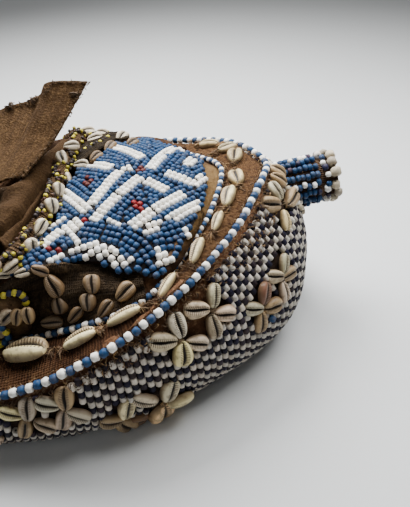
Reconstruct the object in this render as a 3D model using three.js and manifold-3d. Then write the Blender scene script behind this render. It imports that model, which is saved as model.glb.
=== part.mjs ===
// Helmet mask of hide, raffia cloth, glass beads and cowrie shells, lying face down.
// Millimetres. +X runs from the chin to the crown, +Y to the far side, +Z up.
import * as THREE from "three";
import { mergeGeometries, mergeVertices } from "three/addons/utils/BufferGeometryUtils.js";
import Module from "manifold-3d";

const wasm = await Module();
wasm.setup();

// The mask's border at nine places from the crown to the chin on the near side:
// each row gives the distance along, the half width and the height.
const FOOT = [[170, 0, 0], [164, 33, 0], [138, 72, 0], [80, 104, 0], [25, 118, 0],
  [-36, 117, 0], [-90, 100, 0], [-130, 60, 0], [-147, 0, 0]];
const BELLY = [[187, 0, 62], [181, 38, 60], [155, 82, 50], [92, 117, 40], [30, 132, 30],
  [-36, 130, 24], [-93, 112, 22], [-138, 67, 20], [-158, 0, 20]];
const SHOULDER = [[157, 0, 111], [143, 33, 115], [116, 69, 106], [73, 104, 92], [26, 123.5, 75],
  [-32, 121, 50], [-88, 104, 42], [-130, 62, 39], [-147, 0, 38]];
const INNER = [[125, 0, 110], [119, 23, 108.5], [101, 54, 102], [64, 94, 89], [27, 99, 75.5],
  [-26, 80, 50], [-80, 74, 44], [-113, 48, 41], [-126, 0, 40]];
// The crest is the edge of the raised back of the head, and the lip is the neck opening's edge.
const CREST = [[115, 0, 112.5], [109, 24, 112], [94, 57, 108], [64, 89, 97], [25, 72, 98],
  [-14, 71, 97], [-72, 68, 54], [-107, 44, 46], [-120, 0, 45]];
const LIP = [[10, -5, 105], [7, 8, 104], [4, 18, 103], [-1, 31, 101], [-10, 47, 100],
  [-21, 64, 97], [-68, 62, 56], [-102, 40, 48], [-114, 0, 47]];
// The far side of these two isn't the near side's mirror. It is listed from the chin to the crown.
const CREST_FAR = [[-107, 42, 46], [-68, 65, 55], [-8, 79, 95], [34, 97, 96], [66, 88, 96],
  [96, 58, 104], [109, 26, 111.5]];
const LIP_FAR = [[-102, 40, 48], [-64, 60, 58], [-17, 71, 94], [25, 90, 97], [27, 70, 101],
  [21, 46, 103], [14, 20, 105]];
const FAR_WIDTH = 0.97;
const FAR_SAG = { belly: 8, shoulder: 13, inner: 9 };
const BAND_CROWN = 2.5;
const DOME_RISE = 0.09;
const STATIONS = 16;
const STEP = 0.5;

// Heights above or below the visible surface, along its normal
const SHELL_TOP = -3.0;
const SHELL_THICKNESS = 4.5;
const SKIN_UNDER = -2.6;
const NET_TOP = 0;
const CLOTH_TOP = -0.8;
const PANEL_TOP = 0.9;

// Beads, cowries and the smaller parts
const STRING_RADIUS = 2.5;
const STRING_LIFT = 3.4;
const STRING_SEGMENTS = 40;
const FLOWER_COWRIE = 16.5;
const COWRIE_GIRTH = 0.68;
const COWRIE_BACK = 0.66;
const KEEL = 0.2;
const COWRIE_FOOT = -2.2;
const FLOWER_FOOT = 0.3;
const PETAL_INNER = -1.1;
const RIM_RADIUS = 4.5;
const TUBE_RADIUS = 17.5;
const TUBE_BORE = 13;
const TUBE_LENGTH = 32;
const TUBE_FLARE = 3.5;
const TUBE_RING = 8;
const TUBE_ROOT = -14;
const TUBE_SETBACK = 15;
const TUBE_HEIGHT = 89;
const TUBE_TILT = 8;
const EAR_RADIUS = 16;
const EAR_RISE = 9;
const FACE_HEIGHT = 13;
const FACE_THICKNESS = 3.5;
const BOARD_GAP = 2.9;
const CLOTH_THICKNESS = 3;

function borderLoop(nearSide, sag, farSide) {
  const near = nearSide.map(([x, y, z]) => new THREE.Vector3(x, -y, z));
  const far = farSide
    ? farSide.map(([x, y, z]) => new THREE.Vector3(x, y, z))
    : nearSide.map(([x, y, z], k) => {
      const drop = sag * Math.sin(Math.PI * k / 8);
      return new THREE.Vector3(x, y * FAR_WIDTH, z - drop);
    }).slice(1, -1).reverse();
  return new THREE.CatmullRomCurve3([...near, ...far], true, "catmullrom", 0.5);
}

const loops = {
  foot: borderLoop(FOOT, 0),
  belly: borderLoop(BELLY, FAR_SAG.belly),
  shoulder: borderLoop(SHOULDER, FAR_SAG.shoulder),
  inner: borderLoop(INNER, FAR_SAG.inner),
  crest: borderLoop(CREST, 0, CREST_FAR),
  lip: borderLoop(LIP, 0, LIP_FAR),
};

function onLoop(name, turn) {
  const fraction = THREE.MathUtils.euclideanModulo(turn / STATIONS, 1);
  return loops[name].getPoint(fraction);
}

// The visible surface. Turn is 0 at the crown, 8 at the chin, negative on the far side.
// Row is 0 at the foot, 1 at the shoulder, 2 at the inner string, 3 at the crest, 4 at the lip.
function surface(turn, row) {
  const part = Math.min(Math.floor(row), 3);
  const t = row - part;
  if (part === 0) {
    const foot = onLoop("foot", turn);
    const shoulder = onLoop("shoulder", turn);
    const pull = onLoop("belly", turn).multiplyScalar(2).addScaledVector(foot, -0.5)
      .addScaledVector(shoulder, -0.5);
    return new THREE.QuadraticBezierCurve3(foot, pull, shoulder).getPoint(t);
  }
  const [from, to] = [["shoulder", "inner"], ["inner", "crest"], ["crest", "lip"]][part - 1];
  const start = onLoop(from, turn);
  const end = onLoop(to, turn);
  const point = start.clone().lerp(end, t);
  const bow = 4 * t * (1 - t);
  if (part === 1) point.z += BAND_CROWN * bow;
  if (part === 3) point.z += DOME_RISE * bow * Math.hypot(end.x - start.x, end.y - start.y);
  return point;
}

function normal(turn, row) {
  const d = 0.04;
  const low = Math.max(row - d, 0);
  const high = Math.min(row + d, 4);
  const up = surface(turn, high).sub(surface(turn, low));
  const round = surface(turn + d, row).sub(surface(turn - d, row));
  return up.cross(round).normalize();
}

function lifted(turn, row, lift) {
  return surface(turn, row).addScaledVector(normal(turn, row), lift);
}

function span(from, to, step) {
  const count = Math.round(Math.abs(to - from) / step);
  return Array.from({ length: count + 1 }, (_, k) => from + (to - from) * k / count);
}

// A closed body between two grids of points: the last row of the grid joins the first
// one where the grid goes all the way round.
function bodyBetween(under, over, round = false) {
  const rows = under.length;
  const columns = under[0].length;
  const position = [];
  for (const grid of [under, over]) {
    for (const line of grid) {
      for (const point of line) position.push(point.x, point.y, point.z);
    }
  }
  const at = (side, i, j) => side * rows * columns + (i % rows) * columns + j;
  const index = [];
  const quad = (a, b, c, d) => index.push(a, b, c, a, c, d);
  const last = round ? rows : rows - 1;
  for (let i = 0; i < last; i += 1) {
    for (let j = 0; j < columns - 1; j += 1) {
      quad(at(1, i, j), at(1, i + 1, j), at(1, i + 1, j + 1), at(1, i, j + 1));
      quad(at(0, i, j), at(0, i, j + 1), at(0, i + 1, j + 1), at(0, i + 1, j));
    }
    quad(at(0, i, 0), at(0, i + 1, 0), at(1, i + 1, 0), at(1, i, 0));
    const j = columns - 1;
    quad(at(0, i, j), at(1, i, j), at(1, i + 1, j), at(0, i + 1, j));
  }
  if (!round) {
    for (let j = 0; j < columns - 1; j += 1) {
      quad(at(0, 0, j), at(1, 0, j), at(1, 0, j + 1), at(0, 0, j + 1));
      const i = rows - 1;
      quad(at(0, i, j), at(0, i, j + 1), at(1, i, j + 1), at(1, i, j));
    }
  }
  const geometry = new THREE.BufferGeometry();
  geometry.setAttribute("position", new THREE.Float32BufferAttribute(position, 3));
  geometry.setIndex(index);
  if (volume(geometry) < 0) flip(geometry);
  return geometry;
}

function volume(geometry) {
  const p = geometry.getAttribute("position");
  const [a, b, c] = [new THREE.Vector3(), new THREE.Vector3(), new THREE.Vector3()];
  let sum = 0;
  for (let k = 0; k < geometry.index.count; k += 3) {
    a.fromBufferAttribute(p, geometry.index.getX(k));
    b.fromBufferAttribute(p, geometry.index.getX(k + 1));
    c.fromBufferAttribute(p, geometry.index.getX(k + 2));
    sum += a.dot(b.clone().cross(c)) / 6;
  }
  return sum;
}

function flip(geometry) {
  const index = geometry.index;
  for (let k = 0; k < index.count; k += 3) {
    const first = index.getX(k);
    index.setX(k, index.getX(k + 1));
    index.setX(k + 1, first);
  }
}

// A layer of the mask between two lifts over a range of turns and rows
function layer(turns, rows, low, high, round = false) {
  const grid = (lift) => turns.map((turn) => rows.map((row) => lifted(turn, row, lift)));
  return bodyBetween(grid(low), grid(high), round);
}

const allRound = span(-8, 8, STEP).slice(0, -1);

function solid(geometry) {
  const clean = geometry.clone();
  for (const name of Object.keys(clean.attributes)) {
    if (name !== "position") clean.deleteAttribute(name);
  }
  const merged = mergeVertices(clean, 1e-4);
  if (volume(merged) < 0) flip(merged);
  return new wasm.Manifold(new wasm.Mesh({
    numProp: 3,
    vertProperties: new Float32Array(merged.getAttribute("position").array),
    triVerts: new Uint32Array(merged.index.array),
  }));
}

function geometryOf(manifold) {
  const mesh = manifold.getMesh();
  const geometry = new THREE.BufferGeometry();
  geometry.setAttribute("position", new THREE.BufferAttribute(mesh.vertProperties, 3));
  geometry.setIndex(new THREE.BufferAttribute(mesh.triVerts, 1));
  return geometry;
}

function joined(geometries) {
  return geometries.map(solid).reduce((whole, next) => whole.add(next));
}

// A cowrie as a four-sided boat with a shallow keel, lying along one way
function cowrie(centre, along, up, length) {
  const geometry = new THREE.SphereGeometry(1, 4, 3, Math.PI / 4);
  geometry.deleteAttribute("uv");
  const place = geometry.getAttribute("position");
  for (let k = 0; k < place.count; k += 1) {
    if (place.getZ(k) < 0) place.setZ(k, place.getZ(k) * KEEL);
  }
  const side = new THREE.Vector3().crossVectors(up, along).normalize();
  const back = new THREE.Vector3().crossVectors(along, side).normalize();
  const half = length / 2;
  const turn = new THREE.Matrix4().makeBasis(
    side.multiplyScalar(half * COWRIE_GIRTH), along.clone().normalize().multiplyScalar(half),
    back.multiplyScalar(half * COWRIE_BACK));
  return geometry.applyMatrix4(turn.setPosition(centre));
}

// The place reached from a turn and row by a walk in millimetres round and up the surface
function walk(turn, row, round, up) {
  const d = 0.02;
  const perTurn = surface(turn + d, row).distanceTo(surface(turn - d, row)) / (2 * d);
  const low = Math.max(row - d, 0);
  const perRow = surface(turn, row + d).distanceTo(surface(turn, low)) / (row + d - low);
  return [turn + round / perTurn, row + up / perRow];
}

// A cowrie lying on the surface with its two ends at a near and a far reach from a place
function petal(turn, row, degrees, near, far, foot = COWRIE_FOOT) {
  const angle = THREE.MathUtils.degToRad(degrees);
  const lift = foot + KEEL * COWRIE_BACK * (far - near) / 2;
  const [start, end] = [near, far].map((reach) => {
    const [t, r] = walk(turn, row, reach * Math.cos(angle), reach * Math.sin(angle));
    return [t, Math.min(Math.max(r, 0.02), 3.98)];
  });
  const along = lifted(...end, lift).sub(lifted(...start, lift));
  const middle = [(start[0] + end[0]) / 2, (start[1] + end[1]) / 2];
  return cowrie(lifted(...middle, lift), along, normal(...middle), far - near);
}

// Helmet shell
const shellRows = [0, 0.25, 0.5, 0.75, 0.96, 1.06, 1.5, 1.94, 2.06, 2.5, 2.95, 3.05, 3.5, 4];
// The foot is cut flat along the wall's own slope, so the mask stands on its whole border.
function shellGrid(lift) {
  return allRound.map((turn) => shellRows.map((row) => {
    const point = lifted(turn, row, lift);
    if (row > 0) return point;
    const slope = lifted(turn, 0.1, lift).sub(point);
    return point.addScaledVector(slope, -point.z / slope.z);
  }));
}
const shell = bodyBetween(shellGrid(SHELL_TOP - SHELL_THICKNESS), shellGrid(SHELL_TOP), true);

// Bead net round the wall
const net = layer(allRound, [0.04, 0.25, 0.5, 0.75, 0.93], SKIN_UNDER, NET_TOP, true);

// Flowers of four cowries on the net: turn, row and twist of each
const FLOWERS = [
  [1.06, 0.78, 49], [1.9, 0.65, 47], [2.34, 0.6, 42], [2.76, 0.78, 41], [3.16, 0.76, 38],
  [3.46, 0.24, 59], [3.92, 0.48, 34], [4.42, 0.73, 20], [4.87, 0.68, 14], [5.4, 0.55, 10],
  [6.1, 0.5, 0], [6.9, 0.5, 30], [8, 0.5, 0], [-0.85, 0.62, 10], [-1.9, 0.6, 30],
  [-2.9, 0.6, 0], [-3.9, 0.6, 20], [-4.9, 0.5, 45], [-5.9, 0.5, 0], [-6.9, 0.5, 30],
];
const flowers = FLOWERS.map(([turn, row, twist]) => joined([0, 90, 180, 270].map(
  (quarter) => petal(turn, row, twist + quarter, PETAL_INNER, FLOWER_COWRIE, FLOWER_FOOT))));

// Cloth band with single cowries: turn, row and length of each
const BAND_COWRIES = [
  [4.83, 1.52, 26], [4.2, 1.52, 22], [3.6, 1.5, 21], [2.95, 1.5, 18], [2.4, 1.5, 19],
  [1.9, 1.5, 19], [1.33, 1.55, 18], [0.73, 1.58, 18], [-0.35, 1.5, 17], [-0.85, 1.35, 16],
  [5.55, 1.5, 22], [6.4, 1.5, 22], [7.4, 1.5, 22], [-7.6, 1.5, 22], [-6.6, 1.5, 22],
  [-5.6, 1.5, 22], [-4.6, 1.5, 20], [-3.6, 1.46, 17], [-2.6, 1.5, 18], [-1.8, 1.5, 18],
];
const bandBase = layer(allRound, [1.12, 1.5, 1.88], SKIN_UNDER, CLOTH_TOP, true);
const bandCowries = BAND_COWRIES.map(([turn, row, length]) => petal(
  turn, row, 0, -length / 2, length / 2));
const band = joined([bandBase, ...bandCowries]);

// The two bead strings along the band's edges
function stringRound(row, lift) {
  const centres = span(-8, 8, 0.25).slice(0, -1).map((turn) => lifted(turn, row, lift));
  const path = new THREE.CatmullRomCurve3(centres, true);
  return new THREE.TubeGeometry(path, STRING_SEGMENTS, STRING_RADIUS, 5, true);
}
const outerString = stringRound(1, STRING_LIFT);
const innerString = stringRound(2, STRING_LIFT);

// Interlace panel on the back of the head
const panelTurns = span(-4, 4.5, STEP);
const panel = layer(panelTurns, [3.09, 3.5, 3.86], SKIN_UNDER, PANEL_TOP);

// Dark cloth on the near and the far step, with cowries in pairs
const STEP_COWRIES = [[4.55, 2.72], [4.5, 2.48], [3.97, 2.72], [4.08, 2.46], [3.6, 2.6],
  [3.85, 2.42], [4.3, 2.4]];
const STEP_ROWS = [2.25, 2.5, 2.9];
const STEP_UNDER = -1.85;
const nearStep = joined([
  layer(span(3.5, 5, STEP), STEP_ROWS, STEP_UNDER, CLOTH_TOP),
  ...STEP_COWRIES.map(([turn, row]) => petal(
    turn, row, 90, -FLOWER_COWRIE / 2, FLOWER_COWRIE / 2, CLOTH_TOP - 0.35)),
]);
const farStep = layer(span(-4.5, -3.5, STEP), STEP_ROWS, STEP_UNDER, CLOTH_TOP);

// Neck rim: a roll along the lip, with cowries on its outer side
const rimTurns = span(-4.2, 5.2, 0.235);
const rimLift = RIM_RADIUS + 0.6;
const rimPath = new THREE.CatmullRomCurve3(rimTurns.map((turn) => lifted(turn, 3.99, rimLift)));
const rimSection = new THREE.Shape(
  new THREE.EllipseCurve(0, 0, RIM_RADIUS, RIM_RADIUS).getPoints(5).slice(0, -1));
const rimRoll = new THREE.ExtrudeGeometry(rimSection, {
  steps: 20, bevelEnabled: false, extrudePath: rimPath,
});
const RIM_COWRIES = 10;
const RIM_FRACTIONS = [0.05, 0.95];
const rimCowries = span(...RIM_FRACTIONS, 0.9 / (RIM_COWRIES - 1)).map((fraction) => {
  const centre = rimPath.getPointAt(fraction);
  const along = rimPath.getTangentAt(fraction);
  const up = new THREE.Vector3(0.35, 0, 1).normalize();
  return cowrie(centre.addScaledVector(up, RIM_RADIUS * 0.6), along, up, FLOWER_COWRIE);
});
const rim = joined([rimRoll, ...rimCowries]);

// Ears: a low dome on each side below the crest, cut to the cloth behind it
function ear(turn, row) {
  const dome = new THREE.SphereGeometry(1, 10, 6);
  dome.deleteAttribute("uv");
  dome.rotateX(Math.PI / 2);
  const place = dome.getAttribute("position");
  for (let k = 0; k < place.count; k += 1) {
    if (place.getZ(k) < 0) place.setZ(k, place.getZ(k) * KEEL);
  }
  const up = normal(turn, row);
  const level = new THREE.Vector3(1, 0, 0).cross(up).normalize();
  const ahead = up.clone().cross(level);
  dome.applyMatrix4(new THREE.Matrix4().makeBasis(
    level.multiplyScalar(EAR_RADIUS), ahead.multiplyScalar(EAR_RADIUS),
    up.multiplyScalar(EAR_RISE)).setPosition(lifted(turn, row, CLOTH_TOP + 1)));
  const first = Math.floor(turn) - 1;
  const behind = layer(span(first, first + 3, STEP), shellRows.slice(5), -12, CLOTH_TOP + 0.6);
  return geometryOf(solid(dome).subtract(solid(behind)));
}
const nearEar = ear(5.1, 2.62);
const farEar = ear(-5.1, 2.62);

// Crown tube: a hollow socket with a flared ring of beads at its mouth
const flared = TUBE_RADIUS + TUBE_FLARE;
const mouth = TUBE_LENGTH + TUBE_RING;
const tubeProfile = [
  [TUBE_BORE, TUBE_ROOT], [TUBE_RADIUS, TUBE_ROOT], [TUBE_RADIUS, TUBE_LENGTH - 4],
  [flared, TUBE_LENGTH], [flared, mouth - 2],
  [TUBE_RADIUS, mouth], [TUBE_BORE, mouth], [TUBE_BORE, TUBE_ROOT],
].map(([r, along]) => new THREE.Vector2(r, along));
const tubeBlank = new THREE.LatheGeometry(tubeProfile, 12);
tubeBlank.rotateZ(-Math.PI / 2);
tubeBlank.rotateY(-THREE.MathUtils.degToRad(TUBE_TILT));
tubeBlank.translate(BELLY[0][0] - TUBE_SETBACK, 0, TUBE_HEIGHT);
const CROWN_DEPTH = -40;
const CROWN_ROWS = [0.25, 0.5, 0.75, 0.96, 1.06, 1.5];
const crownWall = layer(span(-1.5, 1.5, STEP), CROWN_ROWS, CROWN_DEPTH, NET_TOP + 0.9);
const tube = solid(tubeBlank).subtract(solid(crownWall));

// Hood: raffia cloth from inside the rim, rolled over the neck opening and laid to the chin,
// then folded back over itself as a stiff flap that stands up at its far corner
const HOOD_CENTRE = new THREE.Vector3(-60, 5, 0);
const HOOD_ROLL = [[11, -5], [13, 4], [22, 9], [33, 4], [46, -12]];
const HOOD_RUN = [[-85, 57, 84], [-117, 60, 70], [-150, 55, 60]];
const HOOD_SIDE_DROP = 10;
const HOOD_FOLD = 4;
const FLAP_LOW = [[-150, -32, 61], [-106, -22, 88], [-62, -8, 106], [-36, 4, 113], [-24, 7, 116],
  [-11, 7, 116]];
const FLAP_HIGH = [[-150, 50, 61], [-102, 68, 100], [-50, 74, 128], [2, 70, 144], [12, 69, 155],
  [40, 66, 156]];
const FLAP_SAG = 5;

function sheet(lines) {
  const top = lines.map((line, i) => line.map((point, j) => {
    const way = line[Math.min(j + 1, line.length - 1)].clone().sub(line[Math.max(j - 1, 0)]);
    const across = lines[Math.min(i + 1, lines.length - 1)][j].clone()
      .sub(lines[Math.max(i - 1, 0)][j]);
    return point.clone().addScaledVector(way.cross(across).normalize(), -CLOTH_THICKNESS);
  }));
  return bodyBetween(lines, top);
}

function hoodLines() {
  const turns = span(4.8, -3.7, 0.85);
  return turns.map((turn, k) => {
    const start = onLoop("lip", turn);
    const inward = HOOD_CENTRE.clone().sub(start).setZ(0).normalize();
    const across = 2 * k / (turns.length - 1) - 1;
    const wave = HOOD_FOLD * Math.cos(3 * Math.PI * across);
    const roll = HOOD_ROLL.map(([reach, lift], j) => {
      const height = lift + (j > 1 ? wave * 0.5 : 0);
      return start.clone().addScaledVector(inward, reach).add(new THREE.Vector3(0, 0, height));
    });
    const run = HOOD_RUN.map(([x, halfWidth, height]) => new THREE.Vector3(
      x, 5 + across * halfWidth, height + wave - HOOD_SIDE_DROP * across * across));
    return [...roll, ...run];
  });
}

function flapLines() {
  return FLAP_LOW.map((lowEdge, k) => {
    const low = new THREE.Vector3(...lowEdge);
    const high = new THREE.Vector3(...FLAP_HIGH[k]);
    return [0, 0.25, 0.5, 0.75, 1].map((t) => {
      const point = low.clone().lerp(high, t);
      point.z -= FLAP_SAG * 4 * t * (1 - t) * Math.min(k, 1);
      return point;
    });
  });
}
const hood = joined([sheet(hoodLines()), sheet(flapLines())]);

// Face board with a plain carved face, on the underside
const boardEdge = span(-8, 8, STEP).slice(0, -1).map((turn) => {
  let point;
  for (let row = 0; row < 0.6; row += 0.01) {
    point = lifted(turn, row, SHELL_TOP - SHELL_THICKNESS - BOARD_GAP);
    if (point.z > FACE_HEIGHT) break;
  }
  return new THREE.Vector2(point.x, point.y);
});
const board = new THREE.ExtrudeGeometry(new THREE.Shape(boardEdge), {
  depth: FACE_THICKNESS, bevelEnabled: false,
});
board.translate(0, 0, FACE_HEIGHT);

function relief(outline, depth, bevel) {
  const geometry = new THREE.ExtrudeGeometry(new THREE.Shape(outline), {
    depth: depth - bevel, bevelEnabled: true, bevelThickness: bevel, bevelSize: bevel,
    bevelOffset: -bevel, bevelSegments: 1, curveSegments: 6,
  });
  geometry.rotateX(Math.PI);
  geometry.translate(0, 0, FACE_HEIGHT - 0.3 - bevel);
  return geometry;
}
const NOSE_LENGTH = 78;
const NOSE_WIDTH = 34;
const noseOutline = [[0, -0.28], [1, -0.5], [1.08, 0], [1, 0.5], [0, 0.28]].map(
  ([along, across]) => new THREE.Vector2(38 - along * NOSE_LENGTH, across * NOSE_WIDTH));
const nose = relief(noseOutline, 9, 3);
const MOUTH_WIDTH = 46;
const MOUTH_HEIGHT = 17;
const mouthOutline = new THREE.EllipseCurve(-76, 0, MOUTH_HEIGHT / 2, MOUTH_WIDTH / 2).getPoints(8);
const mouthPiece = relief(mouthOutline.slice(0, -1), 6, 2);
const EYE_LENGTH = 20;
const EYE_WIDTH = 38;
const eyes = [1, -1].map((side) => {
  const outline = new THREE.EllipseCurve(34, side * 46, EYE_LENGTH / 2, EYE_WIDTH / 2).getPoints(8);
  return relief(outline.slice(0, -1), 7, 3);
});

const model = new THREE.Group();
const mask = new THREE.Group();
model.add(mask);

function piece(name, geometry, colour, roughness) {
  const material = new THREE.MeshStandardMaterial({ color: colour, roughness, metalness: 0 });
  const mesh = new THREE.Mesh(geometry, material);
  mesh.name = name;
  mask.add(mesh);
  return mesh;
}

piece("helmet_shell", shell, 0x6b4a30, 0.95);
piece("checker_net", net, 0x8e8a86, 0.5);
flowers.forEach((flower, k) => {
  const number = String(k + 1).padStart(2, "0");
  piece(`cowrie_flower_${number}`, geometryOf(flower), 0xcfc3a4, 0.4);
});
piece("border_cloth_band", geometryOf(band), 0x5a3a24, 0.95);
piece("outer_bead_string", outerString, 0x3d6fa8, 0.35);
piece("inner_bead_string", innerString, 0x3d6fa8, 0.35);
piece("interlace_panel", panel, 0x3b6ea5, 0.4);
piece("near_step_cloth", geometryOf(nearStep), 0x3a2c20, 0.95);
piece("far_step_cloth", farStep, 0x3a2c20, 0.95);
piece("neck_rim", geometryOf(rim), 0x7a5f3c, 0.8);
piece("near_ear", nearEar, 0x4a3626, 0.9);
piece("far_ear", farEar, 0x4a3626, 0.9);
piece("crown_tube", geometryOf(tube), 0x3d6fa8, 0.4);
piece("hood_cloth", geometryOf(hood), 0x6a4c34, 0.95);
piece("face_board", board, 0x8a6a48, 0.9);
piece("face_nose", nose, 0x6b4a30, 0.7);
piece("face_mouth", mouthPiece, 0x6b4a30, 0.7);
piece("face_near_eye", eyes[0], 0x6b4a30, 0.7);
piece("face_far_eye", eyes[1], 0x6b4a30, 0.7);

// The origin is the middle of the mask's box, on the surface that it lies on
const box = new THREE.Box3().setFromObject(mask);
const middle = box.getCenter(new THREE.Vector3());
mask.position.set(-middle.x, -middle.y, -box.min.z);

export default model;
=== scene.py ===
# Dressed model of a beaded helmet mask that lies face down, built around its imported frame.
import math
import random

import bmesh
import bpy
import numpy as np
from mathutils import Matrix, Vector, noise
from mathutils.kdtree import KDTree


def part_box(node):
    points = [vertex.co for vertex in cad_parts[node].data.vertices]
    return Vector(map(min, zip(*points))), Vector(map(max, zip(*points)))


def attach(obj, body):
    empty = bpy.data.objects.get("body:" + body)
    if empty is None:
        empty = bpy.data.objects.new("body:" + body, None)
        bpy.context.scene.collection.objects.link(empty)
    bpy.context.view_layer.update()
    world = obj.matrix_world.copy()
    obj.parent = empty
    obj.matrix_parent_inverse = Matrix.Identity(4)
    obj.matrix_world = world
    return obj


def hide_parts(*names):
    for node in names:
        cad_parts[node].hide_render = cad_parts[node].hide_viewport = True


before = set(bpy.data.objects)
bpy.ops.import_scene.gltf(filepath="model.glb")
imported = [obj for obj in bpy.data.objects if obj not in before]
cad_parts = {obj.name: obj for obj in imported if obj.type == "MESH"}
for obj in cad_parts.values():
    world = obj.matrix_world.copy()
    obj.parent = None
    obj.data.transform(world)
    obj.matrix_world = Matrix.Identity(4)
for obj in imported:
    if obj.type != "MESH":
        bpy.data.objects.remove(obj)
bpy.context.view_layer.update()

# Camera: it stands over the near side and looks down across the mask.
# The mask is drawn in millimetres with the chin at low x, and SHIFT moves it to the frame.
MM = 0.001
TUBE_FOOT = 172
TUBE_HEIGHT = 89
TUBE_REACH = 40
TUBE_OUTER = 17.5
TUBE_TILT = math.radians(8)
TUBE_TIP = TUBE_FOOT + TUBE_REACH * math.cos(TUBE_TILT) + TUBE_OUTER * math.sin(TUBE_TILT)
tube_low, tube_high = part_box("crown_tube")
SHIFT = Vector((tube_high.x - TUBE_TIP * MM, (tube_low.y + tube_high.y) / 2, 0))
PICTURE_WIDTH = 410
PICTURE_HEIGHT = 507
FOCAL_PIXELS = 578
SENSOR = 36
CAMERA_PLACE = (40, -346, 330)
CAMERA_TILT = 50
CAMERA_YAW = -12


def place(x, y, z):
    return SHIFT + Vector((x, y, z)) * MM


camera = bpy.data.objects.new("camera", bpy.data.cameras.new("camera"))
camera.data.sensor_width = SENSOR
camera.data.lens = SENSOR * FOCAL_PIXELS / PICTURE_HEIGHT
camera.location = place(*CAMERA_PLACE)
camera.rotation_euler = (math.radians(CAMERA_TILT), 0, math.radians(CAMERA_YAW))
bpy.context.scene.collection.objects.link(camera)
bpy.context.scene.camera = camera
bpy.context.view_layer.update()
from_camera = camera.matrix_world.inverted()


def pixel_of(point):
    seen = from_camera @ point
    reach = FOCAL_PIXELS / -seen.z
    return Vector((PICTURE_WIDTH / 2 + seen.x * reach, PICTURE_HEIGHT / 2 - seen.y * reach, 0))


# Floor and light: a plain pale studio table, two soft lights above and behind the mask, a weak
# one in front, and a dim pale room. None of them is part of the mask.
# A light has a place in metres, a width in metres, a power in watts and a spread in degrees.
FLOOR_HALF = 6
FLOOR_COLOUR = (0.67, 0.685, 0.685)
FLOOR_STAIN = (0.56, 0.57, 0.575)
FLOOR_ROUGHNESS = 0.7
SKY_COLOUR = (0.94, 0.97, 1.0)
SKY_STRENGTH = 0.06
LIGHTS = {
    "key": ((0.36, 0.10, 0.66), 0.4, 6.6, 180),
    "back": ((-0.06, 0.47, 0.68), 0.5, 7.4, 108),
    "fill": ((-0.5, -0.9, 0.9), 1.0, 1.8, 180),
}
LIGHTS_AIM = Vector((0.08, -0.06, 0))


class Level:
    """A socket that carries a number: arithmetic on it adds Math nodes to its finish."""

    def __init__(self, finish, socket):
        self.finish = finish
        self.socket = socket

    def math(self, operation, *terms):
        return self.finish.add("ShaderNodeMath", {"operation": operation}, terms)

    def __add__(self, other):
        return self.math("ADD", self, other)

    __radd__ = __add__

    def __sub__(self, other):
        return self.math("SUBTRACT", self, other)

    def __rsub__(self, other):
        return self.math("SUBTRACT", other, self)

    def __mul__(self, other):
        return self.math("MULTIPLY", self, other)

    __rmul__ = __mul__

    def between(self, low, high):
        """0 below low and 1 above high, with a soft change between them"""
        return self.finish.add("ShaderNodeMapRange", {"interpolation_type": "SMOOTHSTEP"},
                               (self, low, high, 0.0, 1.0))


class Finish:
    """A material in the making: its shader's plain values, and the nodes that vary it"""

    def __init__(self, name, **plain):
        self.material = bpy.data.materials.new(name)
        self.material.use_nodes = True
        self.tree = self.material.node_tree
        self.shader = self.tree.nodes["Principled BSDF"]
        for socket, value in plain.items():
            self.shader.inputs[socket.replace("_", " ")].default_value = value

    def add(self, kind, settings=None, values=(), output=0):
        """Adds a node. Values go to its sockets by number or name, and settings come first."""
        node = self.tree.nodes.new(kind)
        for setting, value in (settings or {}).items():
            setattr(node, setting, value)
        pairs = values.items() if isinstance(values, dict) else enumerate(values)
        for socket, value in pairs:
            if isinstance(value, Level):
                self.tree.links.new(value.socket, node.inputs[socket])
            else:
                node.inputs[socket].default_value = value
        return Level(self, node.outputs[output])

    def attribute(self, name, output="Fac"):
        return self.add("ShaderNodeAttribute", {"attribute_name": name}, output=output)

    def place(self, stretch=(1, 1, 1), uv=False):
        found = self.add("ShaderNodeTexCoord", output="UV" if uv else "Object")
        return self.add("ShaderNodeMapping", {}, {"Vector": found, "Scale": stretch})

    def noise(self, scale, detail=3, stretch=(1, 1, 1), uv=False):
        return self.add("ShaderNodeTexNoise", {}, {
            "Vector": self.place(stretch, uv), "Scale": scale, "Detail": detail, "Roughness": 0.55})

    def ribs(self, direction, scale, distortion, uv=True):
        return self.add("ShaderNodeTexWave", {"bands_direction": direction}, {
            "Vector": self.place(uv=uv), "Scale": scale, "Distortion": distortion,
            "Detail": 2.0, "Detail Scale": 1.5}, output="Fac")

    def coloured(self, colour, *layers):
        """Gives the base colour: a first one, and each share of a further one laid over it"""
        for share, shade in layers:
            under, over = (c if isinstance(c, Level) else (*c, 1.0) for c in (colour, shade))
            colour = self.add("ShaderNodeMix", {"data_type": "RGBA"},
                              {0: share, 6: under, 7: over}, output=2)
        self.feed("Base Color", colour)

    def feed(self, socket, value):
        self.tree.links.new(value.socket, self.shader.inputs[socket])

    def bump(self, height, distance):
        self.feed("Normal", self.add("ShaderNodeBump", {}, {
            "Height": height, "Distance": distance, "Strength": 1.0}))


def as_mesh(form, name):
    mesh = bpy.data.meshes.new(name)
    form.to_mesh(mesh)
    form.free()
    return mesh


floor_finish = Finish("studio table", Roughness=FLOOR_ROUGHNESS)
floor_finish.coloured(FLOOR_COLOUR, (floor_finish.noise(3.0) * 0.10, FLOOR_STAIN))
floor_form = bmesh.new()
bmesh.ops.create_grid(floor_form, x_segments=1, y_segments=1, size=FLOOR_HALF)
floor_mesh = as_mesh(floor_form, "floor")
floor_mesh.materials.append(floor_finish.material)
floor = bpy.data.objects.new("floor", floor_mesh)
bpy.context.scene.collection.objects.link(floor)

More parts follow.
